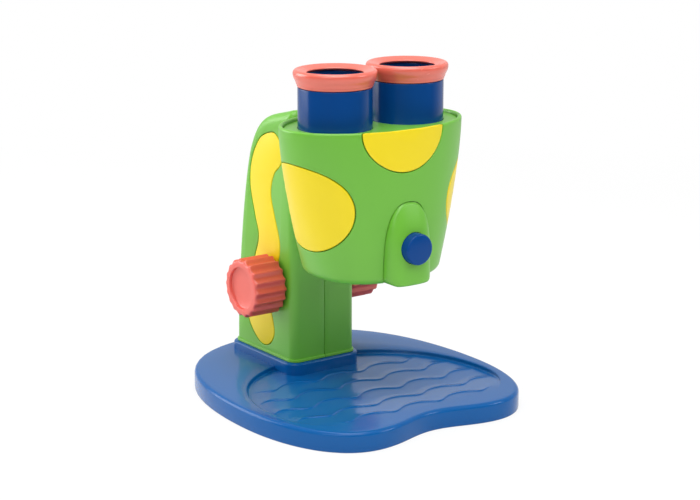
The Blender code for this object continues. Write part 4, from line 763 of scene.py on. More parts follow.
def build_foot_lip(side):
    top, inside = COLUMN_FOOT_Z + FOOT_LIP_HEIGHT, -COLUMN_WALL / 2
    section = [(FOOT_LIP_MARGIN, COLUMN_FOOT_Z)]
    section += [(FOOT_LIP_MARGIN - inwards, top - drop) for drop, inwards in broken(FOOT_LIP_ROUND)]
    section += [(inside, top), (inside, COLUMN_FOOT_Z)]
    shape = bmesh.new()
    skin(shape, [level(column_footprint(margin), z) for margin, z in section], loop=True)
    open_edges = cut_off(shape, (side * SEAM_HALF, 0, 0), (side, 0, 0))
    bmesh.ops.holes_fill(shape, edges=open_edges, sides=0)
    return piece_from("foot_lip", shape)


def build_column_half(side, word):
    outline = column_outline()
    sections = [(COLUMN_HALF_WIDTH - COLUMN_WALL, COLUMN_WALL), (SEAM_HALF, COLUMN_WALL)]
    sections += [(SEAM_HALF + out, inset) for inset, out in broken(SEAM_ROUND)]
    sections += [((COLUMN_HALF_WIDTH - COLUMN_ROUND) * share, 0.0) for share in COLUMN_SIDE_SHARES]
    sections += [(COLUMN_HALF_WIDTH - left, inset) for left, inset in quarter(COLUMN_ROUND, 8)]
    shape = bmesh.new()
    skin(shape, [across(side, inset_line(outline, inset), x) for x, inset in sections])
    open_edges = cut_off(shape, (0, 0, COLUMN_FOOT_Z), (0, 0, 1))
    bmesh.ops.triangle_fill(shape, use_beauty=True, edges=open_edges)
    half = piece_from(f"column_half_{word}", shape)

    seat = [(COLUMN_HALF_WIDTH - INLAY_THICKNESS - GAP, 0.0)]
    seat += [(COLUMN_HALF_WIDTH - down, wide) for down, wide in SEAT_ROLL]
    seat.append((COLUMN_HALF_WIDTH + COLUMN_CUT_PAST, SEAT_ROLL[-1][1]))
    inlay = inlay_outline()
    inlay_seat = lofted("inlay_seat", [across(side, inset_line(inlay, -GAP - wide), x) for x, wide in seat])
    neck_slot = block("neck_slot", (-NECK_SLOT_HALF, COLUMN_FRONT_Y - COLUMN_WALL, NECK_SLOT_Z[0]),
                      (NECK_SLOT_HALF, COLUMN_FRONT_Y + 2 * COLUMN_WALL, NECK_SLOT_Z[1]), NECK_SLOT_ROUND)
    carve(half, inlay_seat, hub_hole(side, word), neck_slot)
    return carve(half, build_foot_lip(side), how="UNION")


LEAF_GREEN = (107, 182, 52)
leaf_green = moulded("leaf_green_moulding", LEAF_GREEN, 0.36, specular_ior_level=0.6)
for side, word in SIDES:
    fit(build_column_half(side, word), leaf_green, "stand", "shell_green", f"column_{word}_shell")


# Column inlays
# Wavy yellow plates pressed into a seat on each side of the column, flush with it and covering its screws.
# A fine shadow line shows all round, and the knob's hub passes through.

INLAY_EDGE_ROUND = 0.45
INLAY_CREASE = 0.25


def build_inlay(side, word):
    outline = inset_line(inlay_outline(), INLAY_CREASE)
    sections = [(COLUMN_HALF_WIDTH - INLAY_THICKNESS, 0.0)]
    sections += [(COLUMN_HALF_WIDTH - left, inset) for left, inset in quarter(INLAY_EDGE_ROUND, 3)]
    rings = [across(side, inset_line(outline, inset), x) for x, inset in sections]
    return carve(lofted(f"column_wave_{word}", rings), hub_hole(side, word))


SUN_YELLOW = (240, 215, 14)
sun_yellow = moulded("sun_yellow_moulding", SUN_YELLOW, 0.36, cloud=0.03, specular_ior_level=0.4)
for side, word in SIDES:
    fit(build_inlay(side, word), sun_yellow, "stand", "inlay_yellow", f"column_inlay_{word}")


# Focus knobs, shaft and pinion
# Two coral knobs with eighteen scooped flutes, pressed on a steel shaft across the column. A white nylon
# pinion on the shaft works the carriage's rack, out of sight.

KNOB_RADIUS = 18.5
KNOB_FLUTES = 18
KNOB_FLUTE_DEPTH = 2.1
KNOB_EDGE_ROUND = 2.4
KNOB_EDGE_STEPS = 6
KNOB_HARD_EDGE = 44.0
KNOB_BACK_ROUND = 0.9
KNOB_FACE_RADIUS = 13.0
KNOB_FACE_DEPTH = 2.2
KNOB_HUB_RADIUS = 7.0
KNOB_HUB_BREAK = 0.3
KNOB_BACK_FLAT = 4.0
KNOB_STANDS_OFF = 1.6
KNOB_RIDGE_ROUND = 0.2
KNOB_FLUTE_FADE = 0.85
KNOB_FLUTE_STEPS = 14
KNOB_CROWN = 0.7
# The step down to the knob's face: distance outside the face's radius, and depth below the rim
KNOB_WELL = ((0.9, 0.0), (0.25, 0.12), (0.0, 0.5), (-0.15, KNOB_FACE_DEPTH - 0.4), (-0.7, KNOB_FACE_DEPTH))
SHAFT_RADIUS = 3.0


def build_knob(side, word):
    low, high = corners(f"focus_knob_{word}")
    axis = middle(f"focus_knob_{word}")
    bore_end = corners("focus_shaft")[1].x + GAP
    near, far = (low.x, high.x + KNOB_CROWN) if side > 0 else (-high.x, KNOB_CROWN - low.x)
    back, face = COLUMN_HALF_WIDTH + KNOB_STANDS_OFF, far - KNOB_FACE_DEPTH
    bore = SHAFT_RADIUS + GAP
    # The section from the bore's end out over the hub, the back, the rim and the face: radius, distance
    # from the middle, and how much of the flutes shows there
    section = [(0.0, bore_end, 0.0), (bore, bore_end, 0.0), (bore, near, 0.0),
               (KNOB_HUB_RADIUS - KNOB_HUB_BREAK, near, 0.0), (KNOB_HUB_RADIUS, near + KNOB_HUB_BREAK, 0.0),
               (KNOB_HUB_RADIUS, back, 0.0), (KNOB_RADIUS - KNOB_BACK_FLAT, back, 0.0)]
    section += [(KNOB_RADIUS - left, back + up, 1.0) for left, up in quarter(KNOB_BACK_ROUND, 4)]
    for k, (left, inwards) in enumerate(quarter(KNOB_EDGE_ROUND, KNOB_EDGE_STEPS)):
        section.append((KNOB_RADIUS - inwards, far - left, 1 - KNOB_FLUTE_FADE * k / KNOB_EDGE_STEPS))
    section += [(KNOB_FACE_RADIUS + out, far - deep, 0.0) for out, deep in KNOB_WELL]
    section += [(KNOB_FACE_RADIUS / 2, face, 0.0), (0.0, face, 0.0)]
    sides = KNOB_FLUTES * KNOB_FLUTE_STEPS
    rings = []
    for radius, x, fluted in section:
        ring = []
        for turn in even_turns(sides if radius > 0 else 1):
            scoop = math.hypot(math.sin(KNOB_FLUTES * turn / 2), KNOB_RIDGE_ROUND) - KNOB_RIDGE_ROUND
            reach = radius - KNOB_FLUTE_DEPTH * scoop * fluted
            ring.append((side * x, axis.y + reach * math.cos(turn), axis.z + reach * math.sin(turn)))
        rings.append(ring)
    return lofted(f"fluted_knob_{word}", rings, sharp=KNOB_HARD_EDGE)


def paint_nodes(finishes):
    """Gives nodes that keep their own shape a finish."""
    for node, finish in finishes.items():
        paint(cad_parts[node], finish)


CORAL = (228, 88, 73)
coral = moulded("coral_moulding", CORAL, 0.42, cloud=0.04, specular_ior_level=1.0)
for side, word in SIDES:
    fit(build_knob(side, word), coral, "focus", "knob_coral", f"focus_knob_{word}")
NYLON_WHITE = (226, 226, 218)
nylon = moulded("white_nylon", NYLON_WHITE, 0.45, cloud=0.02)
paint_nodes({"focus_pinion": nylon, "focus_shaft": plated_steel})


# Carriage
# A green bracket behind the head: its flange is screwed to the head's back, its neck passes through the
# column's slot, and its plate slides between rails inside, with the rack on it.

paint_nodes({"focus_carriage": leaf_green})


# Head housing
# A green shell that flares from a rounded foot to an oval mouth with a thin lip. It has shallow seats for
# the spots and the nose, a pad behind for the carriage, and holes in its floor for the objective and cells.

HEAD_WALL = 4.0
HEAD_RIM_WALL = 2.6
HEAD_FLOOR = 3.5
HEAD_FLOOR_BEVEL = 2.0
HEAD_FLOOR_RING = 24.0
HEAD_EDGE_ROUND = 4.5
HEAD_LIP_ROUND = 1.25
HEAD_TOP_HALF = (60.0, 39.5)
HEAD_FOOT_HALF = (39.5, 34.0)
HEAD_TOP_POWER = 2.0
HEAD_FOOT_POWER = 2.5
HEAD_TAPER = 1.46
HEAD_SIDES = 256
HEAD_WALL_STEPS = 64
HEAD_INSIDE_STEPS = 12
LEDGE_Z = corners("head_deck")[0].z - GAP
PAD_HALF_WIDTH = 13.0
PAD_Y = 13.2
PAD_Z = (105.5, 153.5)
PAD_CORNER = 1.2
PAD_BREAK = 0.4
PAD_TAPER = (0.97, 0.984)
OBJECTIVE_HOLE = 7.9
WINDOW_MARGIN = 1.5
WINDOW_SILL = 7.0
WINDOW_CORNER = 0.5
CELL_WAY_INSET = 1.2
CELL_WAY_RISE = 4.0
DOOR_TAB_HALF = 3.6
PILOT_RADIUS = 1.7
PILOT_RISE = 12.0
HEAD_CUT_PAST = 5.0
SPOT_THICKNESS = 1.6
SPOT_TOOL_PROUD = 3.0
SPOT_CUT_POWER = 0.25
SPOT_POLE_DROP = 0.4
SPOT_SEAT_SHARES = (0.3, 0.6, 0.85)
head_low, head_high = corners("head_shell")
HEAD_FOOT_Z, HEAD_TOP_Z = head_low.z, head_high.z
HEAD_Y = middle("eyepiece_barrel_left").y
# Each spot: the turn of its middle round the head, its half-width in degrees, its half-height and middle
SPOTS = {"front": (-94.0, 39.0, 24.0, HEAD_TOP_Z - 1.0),
         "left": (180.0, 42.0, 26.4, HEAD_TOP_Z - 46.3),
         "right": (0.0, 42.0, 26.4, HEAD_TOP_Z - 46.3)}


def head_halves(z, shrink=0.0):
    """Half the head's width and depth at a height, and the power of its oval there."""
    drop = min(max((HEAD_TOP_Z - z) / (HEAD_TOP_Z - HEAD_FOOT_Z), 0.0), 1.0)
    half_x = HEAD_TOP_HALF[0] + (HEAD_FOOT_HALF[0] - HEAD_TOP_HALF[0]) * drop ** HEAD_TAPER
    half_y = HEAD_TOP_HALF[1] + (HEAD_FOOT_HALF[1] - HEAD_TOP_HALF[1]) * drop
    return half_x - shrink, half_y - shrink, HEAD_TOP_POWER + (HEAD_FOOT_POWER - HEAD_TOP_POWER) * drop


def head_point(turn, z, shrink=0.0):
    """The place on the head's wall at an angle round its axis, moved inwards."""
    half_x, half_y, power = head_halves(z, shrink)
    reach = (abs(math.cos(turn) / half_x) ** power + abs(math.sin(turn) / half_y) ** power) ** (-1 / power)
    return (reach * math.cos(turn), HEAD_Y + reach * math.sin(turn), z)


def head_turns():
    """Angles round the head that space the points of its mouth about evenly."""
    half_x, half_y = HEAD_TOP_HALF
    return [math.atan2(half_y * math.sin(turn), half_x * math.cos(turn)) for turn in even_turns(HEAD_SIDES)]


HEAD_TURNS = head_turns()


def head_ring(z, shrink):
    """The head's outline at a height, moved inwards."""
    return [head_point(turn, z, shrink) for turn in HEAD_TURNS]


def spot_border(word, t):
    """A spot's edge as a turn and a height. The front one is cut off level at the head's lip."""
    bearing, half_turn, half_height, middle_z = SPOTS[word]
    swing, rise = math.cos(t), math.sin(t)
    if middle_z + half_height > HEAD_TOP_Z and rise > 0:
        swing, rise = (math.copysign(abs(part) ** SPOT_CUT_POWER, part) for part in (swing, rise))
        half_height = HEAD_TOP_Z - middle_z
    return math.radians(bearing + half_turn * swing), middle_z + half_height * rise


def spot_pole(word):
    """The place that a spot's rings close in on, as a turn and a height."""
    bearing, _, half_height, middle_z = SPOTS[word]
    cut_off_above = middle_z + half_height > HEAD_TOP_Z
    return math.radians(bearing), middle_z - (SPOT_POLE_DROP * half_height if cut_off_above else 0.0)


def spot_ring(word, share, shrink, grow=0.0, points=144):
    """A ring of a spot, at a share of the way from its pole to its edge, and a distance beyond it."""
    pole_turn, pole_z = spot_pole(word)
    ring = []
    for k in range(points):
        turn, z = spot_border(word, 2 * math.pi * (k + 0.5) / points)
        turn, z = pole_turn + (turn - pole_turn) * share, pole_z + (z - pole_z) * share
        half_y = head_halves(z)[1]
        away = Vector(((turn - pole_turn) * half_y, z - pole_z)).normalized() * grow
        ring.append(head_point(turn + away.x / half_y, z + away.y, shrink))
    return ring


def build_spot_seat(word):
    outside, inside = -SPOT_TOOL_PROUD, SPOT_THICKNESS + GAP
    rings = [[head_point(*spot_pole(word), outside)]]
    rings += [spot_ring(word, share, outside) for share in SPOT_SEAT_SHARES]
    rings.append(spot_ring(word, 1.0, outside, GAP + SEAT_ROLL[-1][1]))
    rings += [spot_ring(word, 1.0, down, GAP + wide) for down, wide in reversed(SEAT_ROLL)]
    rings.append(spot_ring(word, 1.0, inside, GAP))
    rings += [spot_ring(word, share, inside) for share in reversed(SPOT_SEAT_SHARES)]
    return lofted("spot_seat", rings + [[head_point(*spot_pole(word), inside)]])


def build_carriage_pad():
    outline = round_rectangle((-PAD_HALF_WIDTH, PAD_Z[0]), (PAD_HALF_WIDTH, PAD_Z[1]), PAD_CORNER, 4)
    start = HEAD_Y + HEAD_FOOT_HALF[1] - HEAD_WALL / 2
    rings = [[(x, y, z) for x, z in outline] for y in (start, PAD_Y - PAD_BREAK)]
    rings.append([(x * PAD_TAPER[0], PAD_Y, PAD_Z[0] + (z - PAD_Z[0]) * PAD_TAPER[1] + PAD_BREAK)
                  for x, z in outline])
    return lofted("carriage_pad", rings)


def battery_openings(foot, floor):
    """Tools for the way of the cells, the door's seat with its tab, and the screw's pilot hole."""
    low, high = corners("battery_door")
    box_low, box_high = corners("battery_holder")
    screw = middle("battery_door_screw")
    below, seat_top, tab_half = foot - HEAD_CUT_PAST, high.z + GAP, DOOR_TAB_HALF + GAP
    return (block("cell_way", (box_low.x + CELL_WAY_INSET, box_low.y + CELL_WAY_INSET, below),
                  (box_high.x - CELL_WAY_INSET, box_high.y - CELL_WAY_INSET, floor + CELL_WAY_RISE)),
            block("door_seat", (low.x - GAP, low.y - GAP, below), (GAP - low.x, high.y + GAP, seat_top)),
            block("tab_seat", (0.0, screw.y - tab_half, below),
                  (high.x + GAP, screw.y + tab_half, seat_top)),
            disc("door_pilot", screw.xy, below, foot + PILOT_RISE, PILOT_RADIUS, sides=24))


def build_head():
    foot, top = HEAD_FOOT_Z, HEAD_TOP_Z
    rings = [[(0.0, HEAD_Y, foot)], head_ring(foot, HEAD_FLOOR_RING)]
    rings += [head_ring(foot + up, inset) for inset, up in quarter(HEAD_EDGE_ROUND, 8)[:-1]]
    wall_low, wall_high = foot + HEAD_EDGE_ROUND, top - HEAD_LIP_ROUND
    for k in range(HEAD_WALL_STEPS + 1):
        rings.append(head_ring(wall_low + (wall_high - wall_low) * k / HEAD_WALL_STEPS, 0.0))
    lip = quarter(HEAD_LIP_ROUND, 4)
    rings += [head_ring(top - drop, inset) for drop, inset in lip]
    rings += [head_ring(top - drop, HEAD_RIM_WALL - inset) for drop, inset in reversed(lip)]
    rings += [head_ring(LEDGE_Z, HEAD_RIM_WALL), head_ring(LEDGE_Z, HEAD_WALL)]
    floor = foot + HEAD_FLOOR
    inner_foot = floor + HEAD_FLOOR_BEVEL
    for k in range(1, HEAD_INSIDE_STEPS + 1):
        rings.append(head_ring(LEDGE_Z + (inner_foot - LEDGE_Z) * k / HEAD_INSIDE_STEPS, HEAD_WALL))
    rings += [head_ring(floor, HEAD_WALL + HEAD_FLOOR_BEVEL), head_ring(floor, HEAD_FLOOR_RING)]
    head = lofted("head_housing", rings + [[(0.0, HEAD_Y, floor)]])

    carve(head, build_carriage_pad(), how="UNION")
    low, high = corners("light_switch")
    objective_hole = disc("objective_hole", (0.0, HEAD_Y), foot - HEAD_CUT_PAST, floor + HEAD_CUT_PAST,
                          OBJECTIVE_HOLE, sides=64)
    light_window = block("light_window",
                         (low.x - WINDOW_MARGIN, head_low.y - HEAD_CUT_PAST, foot + WINDOW_SILL),
                         (high.x + WINDOW_MARGIN, HEAD_Y, high.z + WINDOW_MARGIN), WINDOW_CORNER)
    spot_seats = [build_spot_seat(word) for word in SPOTS]
    return carve(head, *spot_seats, objective_hole, light_window, *battery_openings(foot, floor))


head = build_head()
fit(head, leaf_green, "head", "shell_green", "head_shell")


# Spots
# Three yellow plates let into the head, flush with it, with a softened edge and a fine shadow line.
# The front one runs up to the lip of the mouth.

SPOT_EDGE_ROUND = 0.5
SPOT_CREASE = 0.25
SPOT_FACE_SHARES = (0.12, 0.25, 0.4, 0.55, 0.7, 0.82, 0.92)
SPOT_BACK_SHARES = (0.8, 0.5, 0.2)


def build_spot(word):
    rings = [[head_point(*spot_pole(word))]]
    rings += [spot_ring(word, share, 0.0) for share in SPOT_FACE_SHARES]
    rings += [spot_ring(word, 1.0, down, -SPOT_CREASE - left) for left, down in quarter(SPOT_EDGE_ROUND, 4)]
    rings.append(spot_ring(word, 1.0, SPOT_THICKNESS, -SPOT_CREASE))
    rings += [spot_ring(word, share, SPOT_THICKNESS) for share in SPOT_BACK_SHARES]
    rings.append([head_point(*spot_pole(word), SPOT_THICKNESS)])
    return lofted(f"head_spot_{word}", rings)


for word in SPOTS:
    fit(build_spot(word), sun_yellow, "head", "inlay_yellow", f"spot_{word}")


# Head deck
# A green plate that closes the head's mouth just below its lip. It rests on a ledge in the head's wall, and
# the two eyepiece barrels come up through it.

DECK_EDGE_ROUND = 0.5
EYE_HALF_SPACING = 26.0
BARREL_RADIUS = 21.75


def build_deck():
    low, high = corners("head_deck")
    shrink = HEAD_RIM_WALL + GAP
    rings = [level(head_ring(high.z, shrink), low.z)]
    for drop, inset in quarter(DECK_EDGE_ROUND, 3):
        rings.append(level(head_ring(high.z, shrink + inset), high.z - drop))
    ways = [disc("barrel_way", (side * EYE_HALF_SPACING, HEAD_Y), low.z - HEAD_CUT_PAST,
                 high.z + HEAD_CUT_PAST, BARREL_RADIUS + GAP, sides=96) for side, _ in SIDES]
    return carve(lofted("mouth_deck", rings), *ways)


fit(build_deck(), leaf_green, "head", "shell_green", "head_deck")


# Eyepiece barrels and eyecups
# Two glossy blue tubes, held by a flange under the deck. Each has a coral cup pushed over its neck, with a
# bead round the eye whose top slopes in to a thin lip.

BARREL_BORE = 19.2
BARREL_TOP_Z = 196.8
BARREL_FLANGE = 2.6
NECK_RADIUS = 19.8
NECK_TOP_Z = 203.3
LENS_SEAT = 1.6
LENS_SEAT_Z = 187.0
BARREL_CORNER = 0.5
CORNER_LIMIT = 2.2
EYECUP_OPENING = 16.4
EYECUP_OPENING_DEPTH = 2.9
EYECUP_LIP = (1.8, 1.0)
EYECUP_CORNER = 1.1
EYECUP_HARD_EDGE = 60.0
# The bead from its ridge outwards and down: distance beyond the cup's outer radius, and below its top
EYECUP_BEAD = ((-1.7, 0.9), (-0.1, 2.1), (0.1, 3.9), (-0.4, 6.0), (-1.4, 7.8))
# The skirt under the bead: distance outside the barrel, at a depth below the top or a height above the foot
EYECUP_SKIRT_TOP = (0.7, 9.8)
EYECUP_SKIRT_FOOT = ((0.4, 1.6), (0.3, 0.0))


def soften(points, radius, steps=4):
    """A closed outline whose corners are turned into small curves."""
    line = []
    count = len(points)
    for k in range(count):
        corner = Vector(points[k])
        before, after = Vector(points[k - 1]) - corner, Vector(points[(k + 1) % count]) - corner
        start = corner + before.normalized() * min(radius, before.length / CORNER_LIMIT)
        end = corner + after.normalized() * min(radius, after.length / CORNER_LIMIT)
        for step in range(steps + 1):
            t = step / steps
            line.append(start * (1 - t) ** 2 + corner * (2 * t * (1 - t)) + end * t ** 2)
    return line


def barrel_section():
    flange_low = corners("eyepiece_barrel_left")[0].z
    flange, ledge = BARREL_RADIUS + BARREL_FLANGE, BARREL_BORE - LENS_SEAT
    seat = LENS_SEAT_Z - GAP
    return soften([(NECK_RADIUS, NECK_TOP_Z), (NECK_RADIUS, BARREL_TOP_Z), (BARREL_RADIUS, BARREL_TOP_Z),
                   (BARREL_RADIUS, LEDGE_Z), (flange, LEDGE_Z), (flange, flange_low), (ledge, flange_low),
                   (ledge, seat), (BARREL_BORE, seat), (BARREL_BORE, NECK_TOP_Z)], BARREL_CORNER)


def eyecup_section():
    """From the lip at the eye out over the ridge and the bead, and down to the barrel."""
    low, high = corners("eyecup_left")
    outer = (high.x - low.x) / 2
    inner, lip = NECK_RADIUS + GAP, NECK_TOP_Z + GAP
    rough = [(EYECUP_OPENING + EYECUP_LIP[0], lip), (EYECUP_OPENING, lip + EYECUP_LIP[1]),
             (EYECUP_OPENING, high.z - EYECUP_OPENING_DEPTH)]
    rough += [(outer + out, high.z - down) for out, down in EYECUP_BEAD]
    rough.append((BARREL_RADIUS + EYECUP_SKIRT_TOP[0], high.z - EYECUP_SKIRT_TOP[1]))
    rough += [(BARREL_RADIUS + out, low.z + up) for out, up in EYECUP_SKIRT_FOOT]
    return soften(rough + [(inner, low.z), (inner, lip)], EYECUP_CORNER, 6)


BARREL_BLUE = (6, 66, 134)
EYECUP_CORAL = (231, 106, 88)
barrel_blue = moulded("barrel_blue_gloss", BARREL_BLUE, 0.16, grain=0.03, cloud=0.04, scuffs=0.16,
                      specular_ior_level=0.4)
eyecup_coral = moulded("eyecup_coral_gloss", EYECUP_CORAL, 0.24, grain=0.08, cloud=0.04,
                       specular_ior_level=0.9)
for side, word in SIDES:
    centre = (side * EYE_HALF_SPACING, HEAD_Y)
    barrel = turned(f"eye_tube_{word}", barrel_section(), centre)
    fit(barrel, barrel_blue, "head", "barrel_blue", f"eyepiece_barrel_{word}")
    cup = turned(f"eye_bead_{word}", eyecup_section(), centre, sharp=EYECUP_HARD_EDGE)
    fit(cup, eyecup_coral, "head", "eyecup_coral", f"eyecup_{word}")


# Lenses
# Polished clear acrylic: one in each barrel on a seat below the cup, and the objective over a hole in the
# head's floor, held down by a black ring.

EYE_LENS_CROWN = 2.2
OBJECTIVE_CROWN = 0.4
LENS_STEPS = 12
LENS_HARD_EDGE = 60.0
RING_WALL = 2.0
RING_LIP = 1.6
RING_CORNER = 0.3


def lens_section(node, crown):
    low, high = corners(node)
    radius = (high.x - low.x) / 2
    shares = [k / LENS_STEPS for k in range(LENS_STEPS + 1)]
    section = [(radius * share, high.z - crown * share ** 2) for share in shares]
    return section + [(radius * share, low.z + crown * share ** 2) for share in reversed(shares)]


def acrylic_finish():
    """Clear acrylic, polished, with a trace of dust in its gloss."""
    finish = Finish("clear_acrylic", transmission_weight=1.0, ior=1.49)
    dust = finish.noise(700.0, 4.0)
    haze = finish.ramp(dust, (0.55, 0.0), (0.8, 1.0))
    return finish.shade(finish.mix(dust, ink(236, 244, 250), ink(250, 252, 255)), haze * 0.1 + 0.02)


clear_acrylic = acrylic_finish()
LENSES = (("eyepiece_lens_left", -EYE_HALF_SPACING, EYE_LENS_CROWN),
          ("eyepiece_lens_right", EYE_HALF_SPACING, EYE_LENS_CROWN),
          ("objective_lens", 0.0, OBJECTIVE_CROWN))
for node, x, crown in LENSES:
    lens = turned(node + "_clear", lens_section(node, crown), (x, HEAD_Y), loop=False, sharp=LENS_HARD_EDGE)
    fit(lens, clear_acrylic, "head", "lens_clear", node)

ring_low, ring_high = corners("objective_ring")
RING_OUTSIDE = (ring_high.x - ring_low.x) / 2
RING_INSIDE = RING_OUTSIDE - RING_WALL
RING_SHELF_Z = ring_high.z - RING_LIP
RING_SECTION = [(RING_OUTSIDE, ring_high.z), (RING_OUTSIDE, ring_low.z), (RING_INSIDE, ring_low.z),
                (RING_INSIDE, RING_SHELF_Z), (OBJECTIVE_HOLE, RING_SHELF_Z), (OBJECTIVE_HOLE, ring_high.z)]
INNER_BLACK = (26, 26, 27)
inner_black = moulded("inner_black_moulding", INNER_BLACK, 0.5, cloud=0.1)
holder = turned("objective_holder", soften(RING_SECTION, RING_CORNER, 3), (0.0, HEAD_Y))
fit(holder, inner_black, "head", "inner_black", "objective_ring")


# Nose
# A green arched cover for the lamp and its switch, let a little into the head's front. Its face is round in
# plan and leans back towards the top. The button comes through it, and the lamp shines down from its floor.

NOSE_HALF_WIDTH = 15.4
NOSE_ARCH = 32.0
NOSE_ARCH_STEPS = 40
NOSE_FLOOR_STEPS = 8
NOSE_SIDE_STEPS = 6
NOSE_POWER = 2.5
NOSE_FOOT_ROUND = 5.5
NOSE_FACE_Y = -72.6
NOSE_SIDE_Y = -61.0
NOSE_PLAN_POWER = 2.8
NOSE_SEAT = 0.5
NOSE_SEAT_DEPTH = 0.8
NOSE_EDGE_ROUND = 1.6
NOSE_WALL = 2.2
NOSE_SPINE_HALF = 0.35
NOSE_SPINE = NOSE_HALF_WIDTH - NOSE_SPINE_HALF
NOSE_RAISED = 0.8
NOSE_LEAN_Z = 114.0
NOSE_LEAN = 6.3 / 18.0
NOSE_LEAN_BLEND = 6.0
NOSE_LEAST_ROUND = 0.05
# How far rings stand in from the nose's outline: over its front, inside it, and in and before its seat
NOSE_FRONT_INSETS = (NOSE_SPINE, 12.5, 10.0, 8.0, 6.5, 5.2, 4.2, 3.4, 2.7, 2.1)
NOSE_INSIDE_INSETS = (NOSE_WALL, 2.5, 3.0, 3.8, 5.0, 6.5, 8.5, 11.0, NOSE_SPINE)
NOSE_SEAT_INSETS = (-NOSE_SEAT, NOSE_WALL, 5.0, 8.0, 11.0, NOSE_SPINE)
NOSE_SEAT_PROUD_INSETS = (NOSE_SPINE, 8.0, -NOSE_SEAT)
NOSE_SEAT_PROUD = 6.0
NOSE_CUT_PAST = 5.0
LAMP_WAY = 2.8
LAMP_WAY_Z = (-2.0, 4.0)
LAMP_RADIUS = 2.5
BUTTON_RADIUS = 9.2
BUTTON_Z = 105.8
NOSE_LOW_Z = corners("light_housing")[0].z + NOSE_RAISED
NOSE_TOP_Z = corners("light_housing")[1].z


def nose_outline(shrink):
    """The arch as (x, z), from the middle of its floor round to the right, over the top and back."""
    half = NOSE_HALF_WIDTH - shrink
    low = NOSE_LOW_Z + shrink
    spring = NOSE_TOP_Z - NOSE_ARCH
    rise = NOSE_ARCH - shrink
    radius = max(NOSE_FOOT_ROUND - shrink, NOSE_LEAST_ROUND)
    right = [((half - radius) * k / NOSE_FLOOR_STEPS, low) for k in range(NOSE_FLOOR_STEPS)]
    right += [(half - left, low + up) for left, up in quarter(radius, 8)]
    foot_top = low + radius
    for k in range(1, NOSE_SIDE_STEPS):
        right.append((half, foot_top + (spring - foot_top) * k / NOSE_SIDE_STEPS))
    for k in range(NOSE_ARCH_STEPS):
        turn = math.pi / 2 * k / NOSE_ARCH_STEPS
        right.append((half * math.cos(turn) ** (2 / NOSE_POWER),
                      spring + rise * math.sin(turn) ** (2 / NOSE_POWER)))
    return right + [(0.0, spring + rise)] + [(-x, z) for x, z in reversed(right[1:])]


def nose_face(z):
    """How far the nose's front stands back from its face at a height: a straight lean with a soft start."""
    above = (z - NOSE_LEAN_Z) / NOSE_LEAN_BLEND
    return NOSE_LEAN * NOSE_LEAN_BLEND * math.log1p(math.exp(above))


def head_front(x, z):
    """Y of the head's front wall at a place, over its rounded foot too."""
    up = min(max(z - HEAD_FOOT_Z, 0.0), HEAD_EDGE_ROUND)
    back = 1 - up / HEAD_EDGE_ROUND
    shrink = HEAD_EDGE_ROUND * (1 - math.sqrt(max(1 - back * back, 0.0)))
    half_x, half_y, power = head_halves(max(z, HEAD_FOOT_Z), shrink)
    return HEAD_Y - half_y * (1 - min(abs(x) / half_x, 1.0) ** power) ** (1 / power)


def nose_bulge(x, wall):
    """Y of the nose's front across its width, on its outside or at a wall's thickness inside."""
    across_share = min(abs(x) / (NOSE_HALF_WIDTH - wall), 1.0)
    forward = (1 - across_share ** NOSE_PLAN_POWER) ** (1 / NOSE_PLAN_POWER)
    return NOSE_SIDE_Y + (NOSE_FACE_Y + wall - NOSE_SIDE_Y) * forward


def ring_on_head(shrink, behind):
    """The nose's outline laid on the head's front, and moved back from it."""
    return [(x, head_front(x, z) + behind, z) for x, z in nose_outline(shrink)]


def nose_ring(shrink, wall, roll=0.0):
    """A ring of the nose's front. Where the nose runs into the head, it ends on the head's wall."""
    ring = []
    for x, z in nose_outline(shrink):
        y = nose_bulge(x, wall) + nose_face(z) + roll
        ring.append((x, min(y, head_front(x, z)), z))
    return ring


def build_nose():
    rings = [nose_ring(inset, 0.0) for inset in NOSE_FRONT_INSETS]
    rings += [nose_ring(inset, 0.0, roll) for inset, roll in quarter(NOSE_EDGE_ROUND, 12)]
    rings += [ring_on_head(inset, NOSE_SEAT_DEPTH - GAP) for inset in (0.0, NOSE_WALL)]
    rings += [nose_ring(inset, NOSE_WALL) for inset in NOSE_INSIDE_INSETS]
    lamp_y = corners("light_led")[0].y + LAMP_RADIUS
    button_way = disc("button_way", (0.0, BUTTON_Z), NOSE_FACE_Y - NOSE_CUT_PAST,
                      NOSE_FACE_Y + NOSE_CUT_PAST, BUTTON_RADIUS + GAP, "Y", 96)
    lamp_way = disc("lamp_way", (0.0, lamp_y), *(NOSE_LOW_Z + z for z in LAMP_WAY_Z), LAMP_WAY, "Z", 32)
    return carve(lofted("nose_cover", rings), button_way, lamp_way)


def build_nose_seat():
    rings = [ring_on_head(inset, -NOSE_SEAT_PROUD) for inset in NOSE_SEAT_PROUD_INSETS]
    return lofted("nose_seat", rings + [ring_on_head(inset, NOSE_SEAT_DEPTH) for inset in NOSE_SEAT_INSETS])


carve(head, build_nose_seat())
fit(build_nose(), leaf_green, "head", "shell_green", "light_housing")


# Button
# A round blue push button with a softly crowned face. A flange inside the nose keeps it in, and its stem
# pushes the plunger of the switch.

button_low, button_high = corners("light_button")
FLANGE_RADIUS = (button_high.x - button_low.x) / 2
FLANGE_BACK = 8.2
BUTTON_PROUD = 1.5
FLANGE_THICKNESS = 0.9
BUTTON_CROWN = 0.45
BUTTON_FACE_SHARES = (0.0, 0.3, 0.6)
BUTTON_HARD_EDGE = 50.0
BUTTON_EDGE_ROUND = 1.3
STEM_RADIUS = 2.5


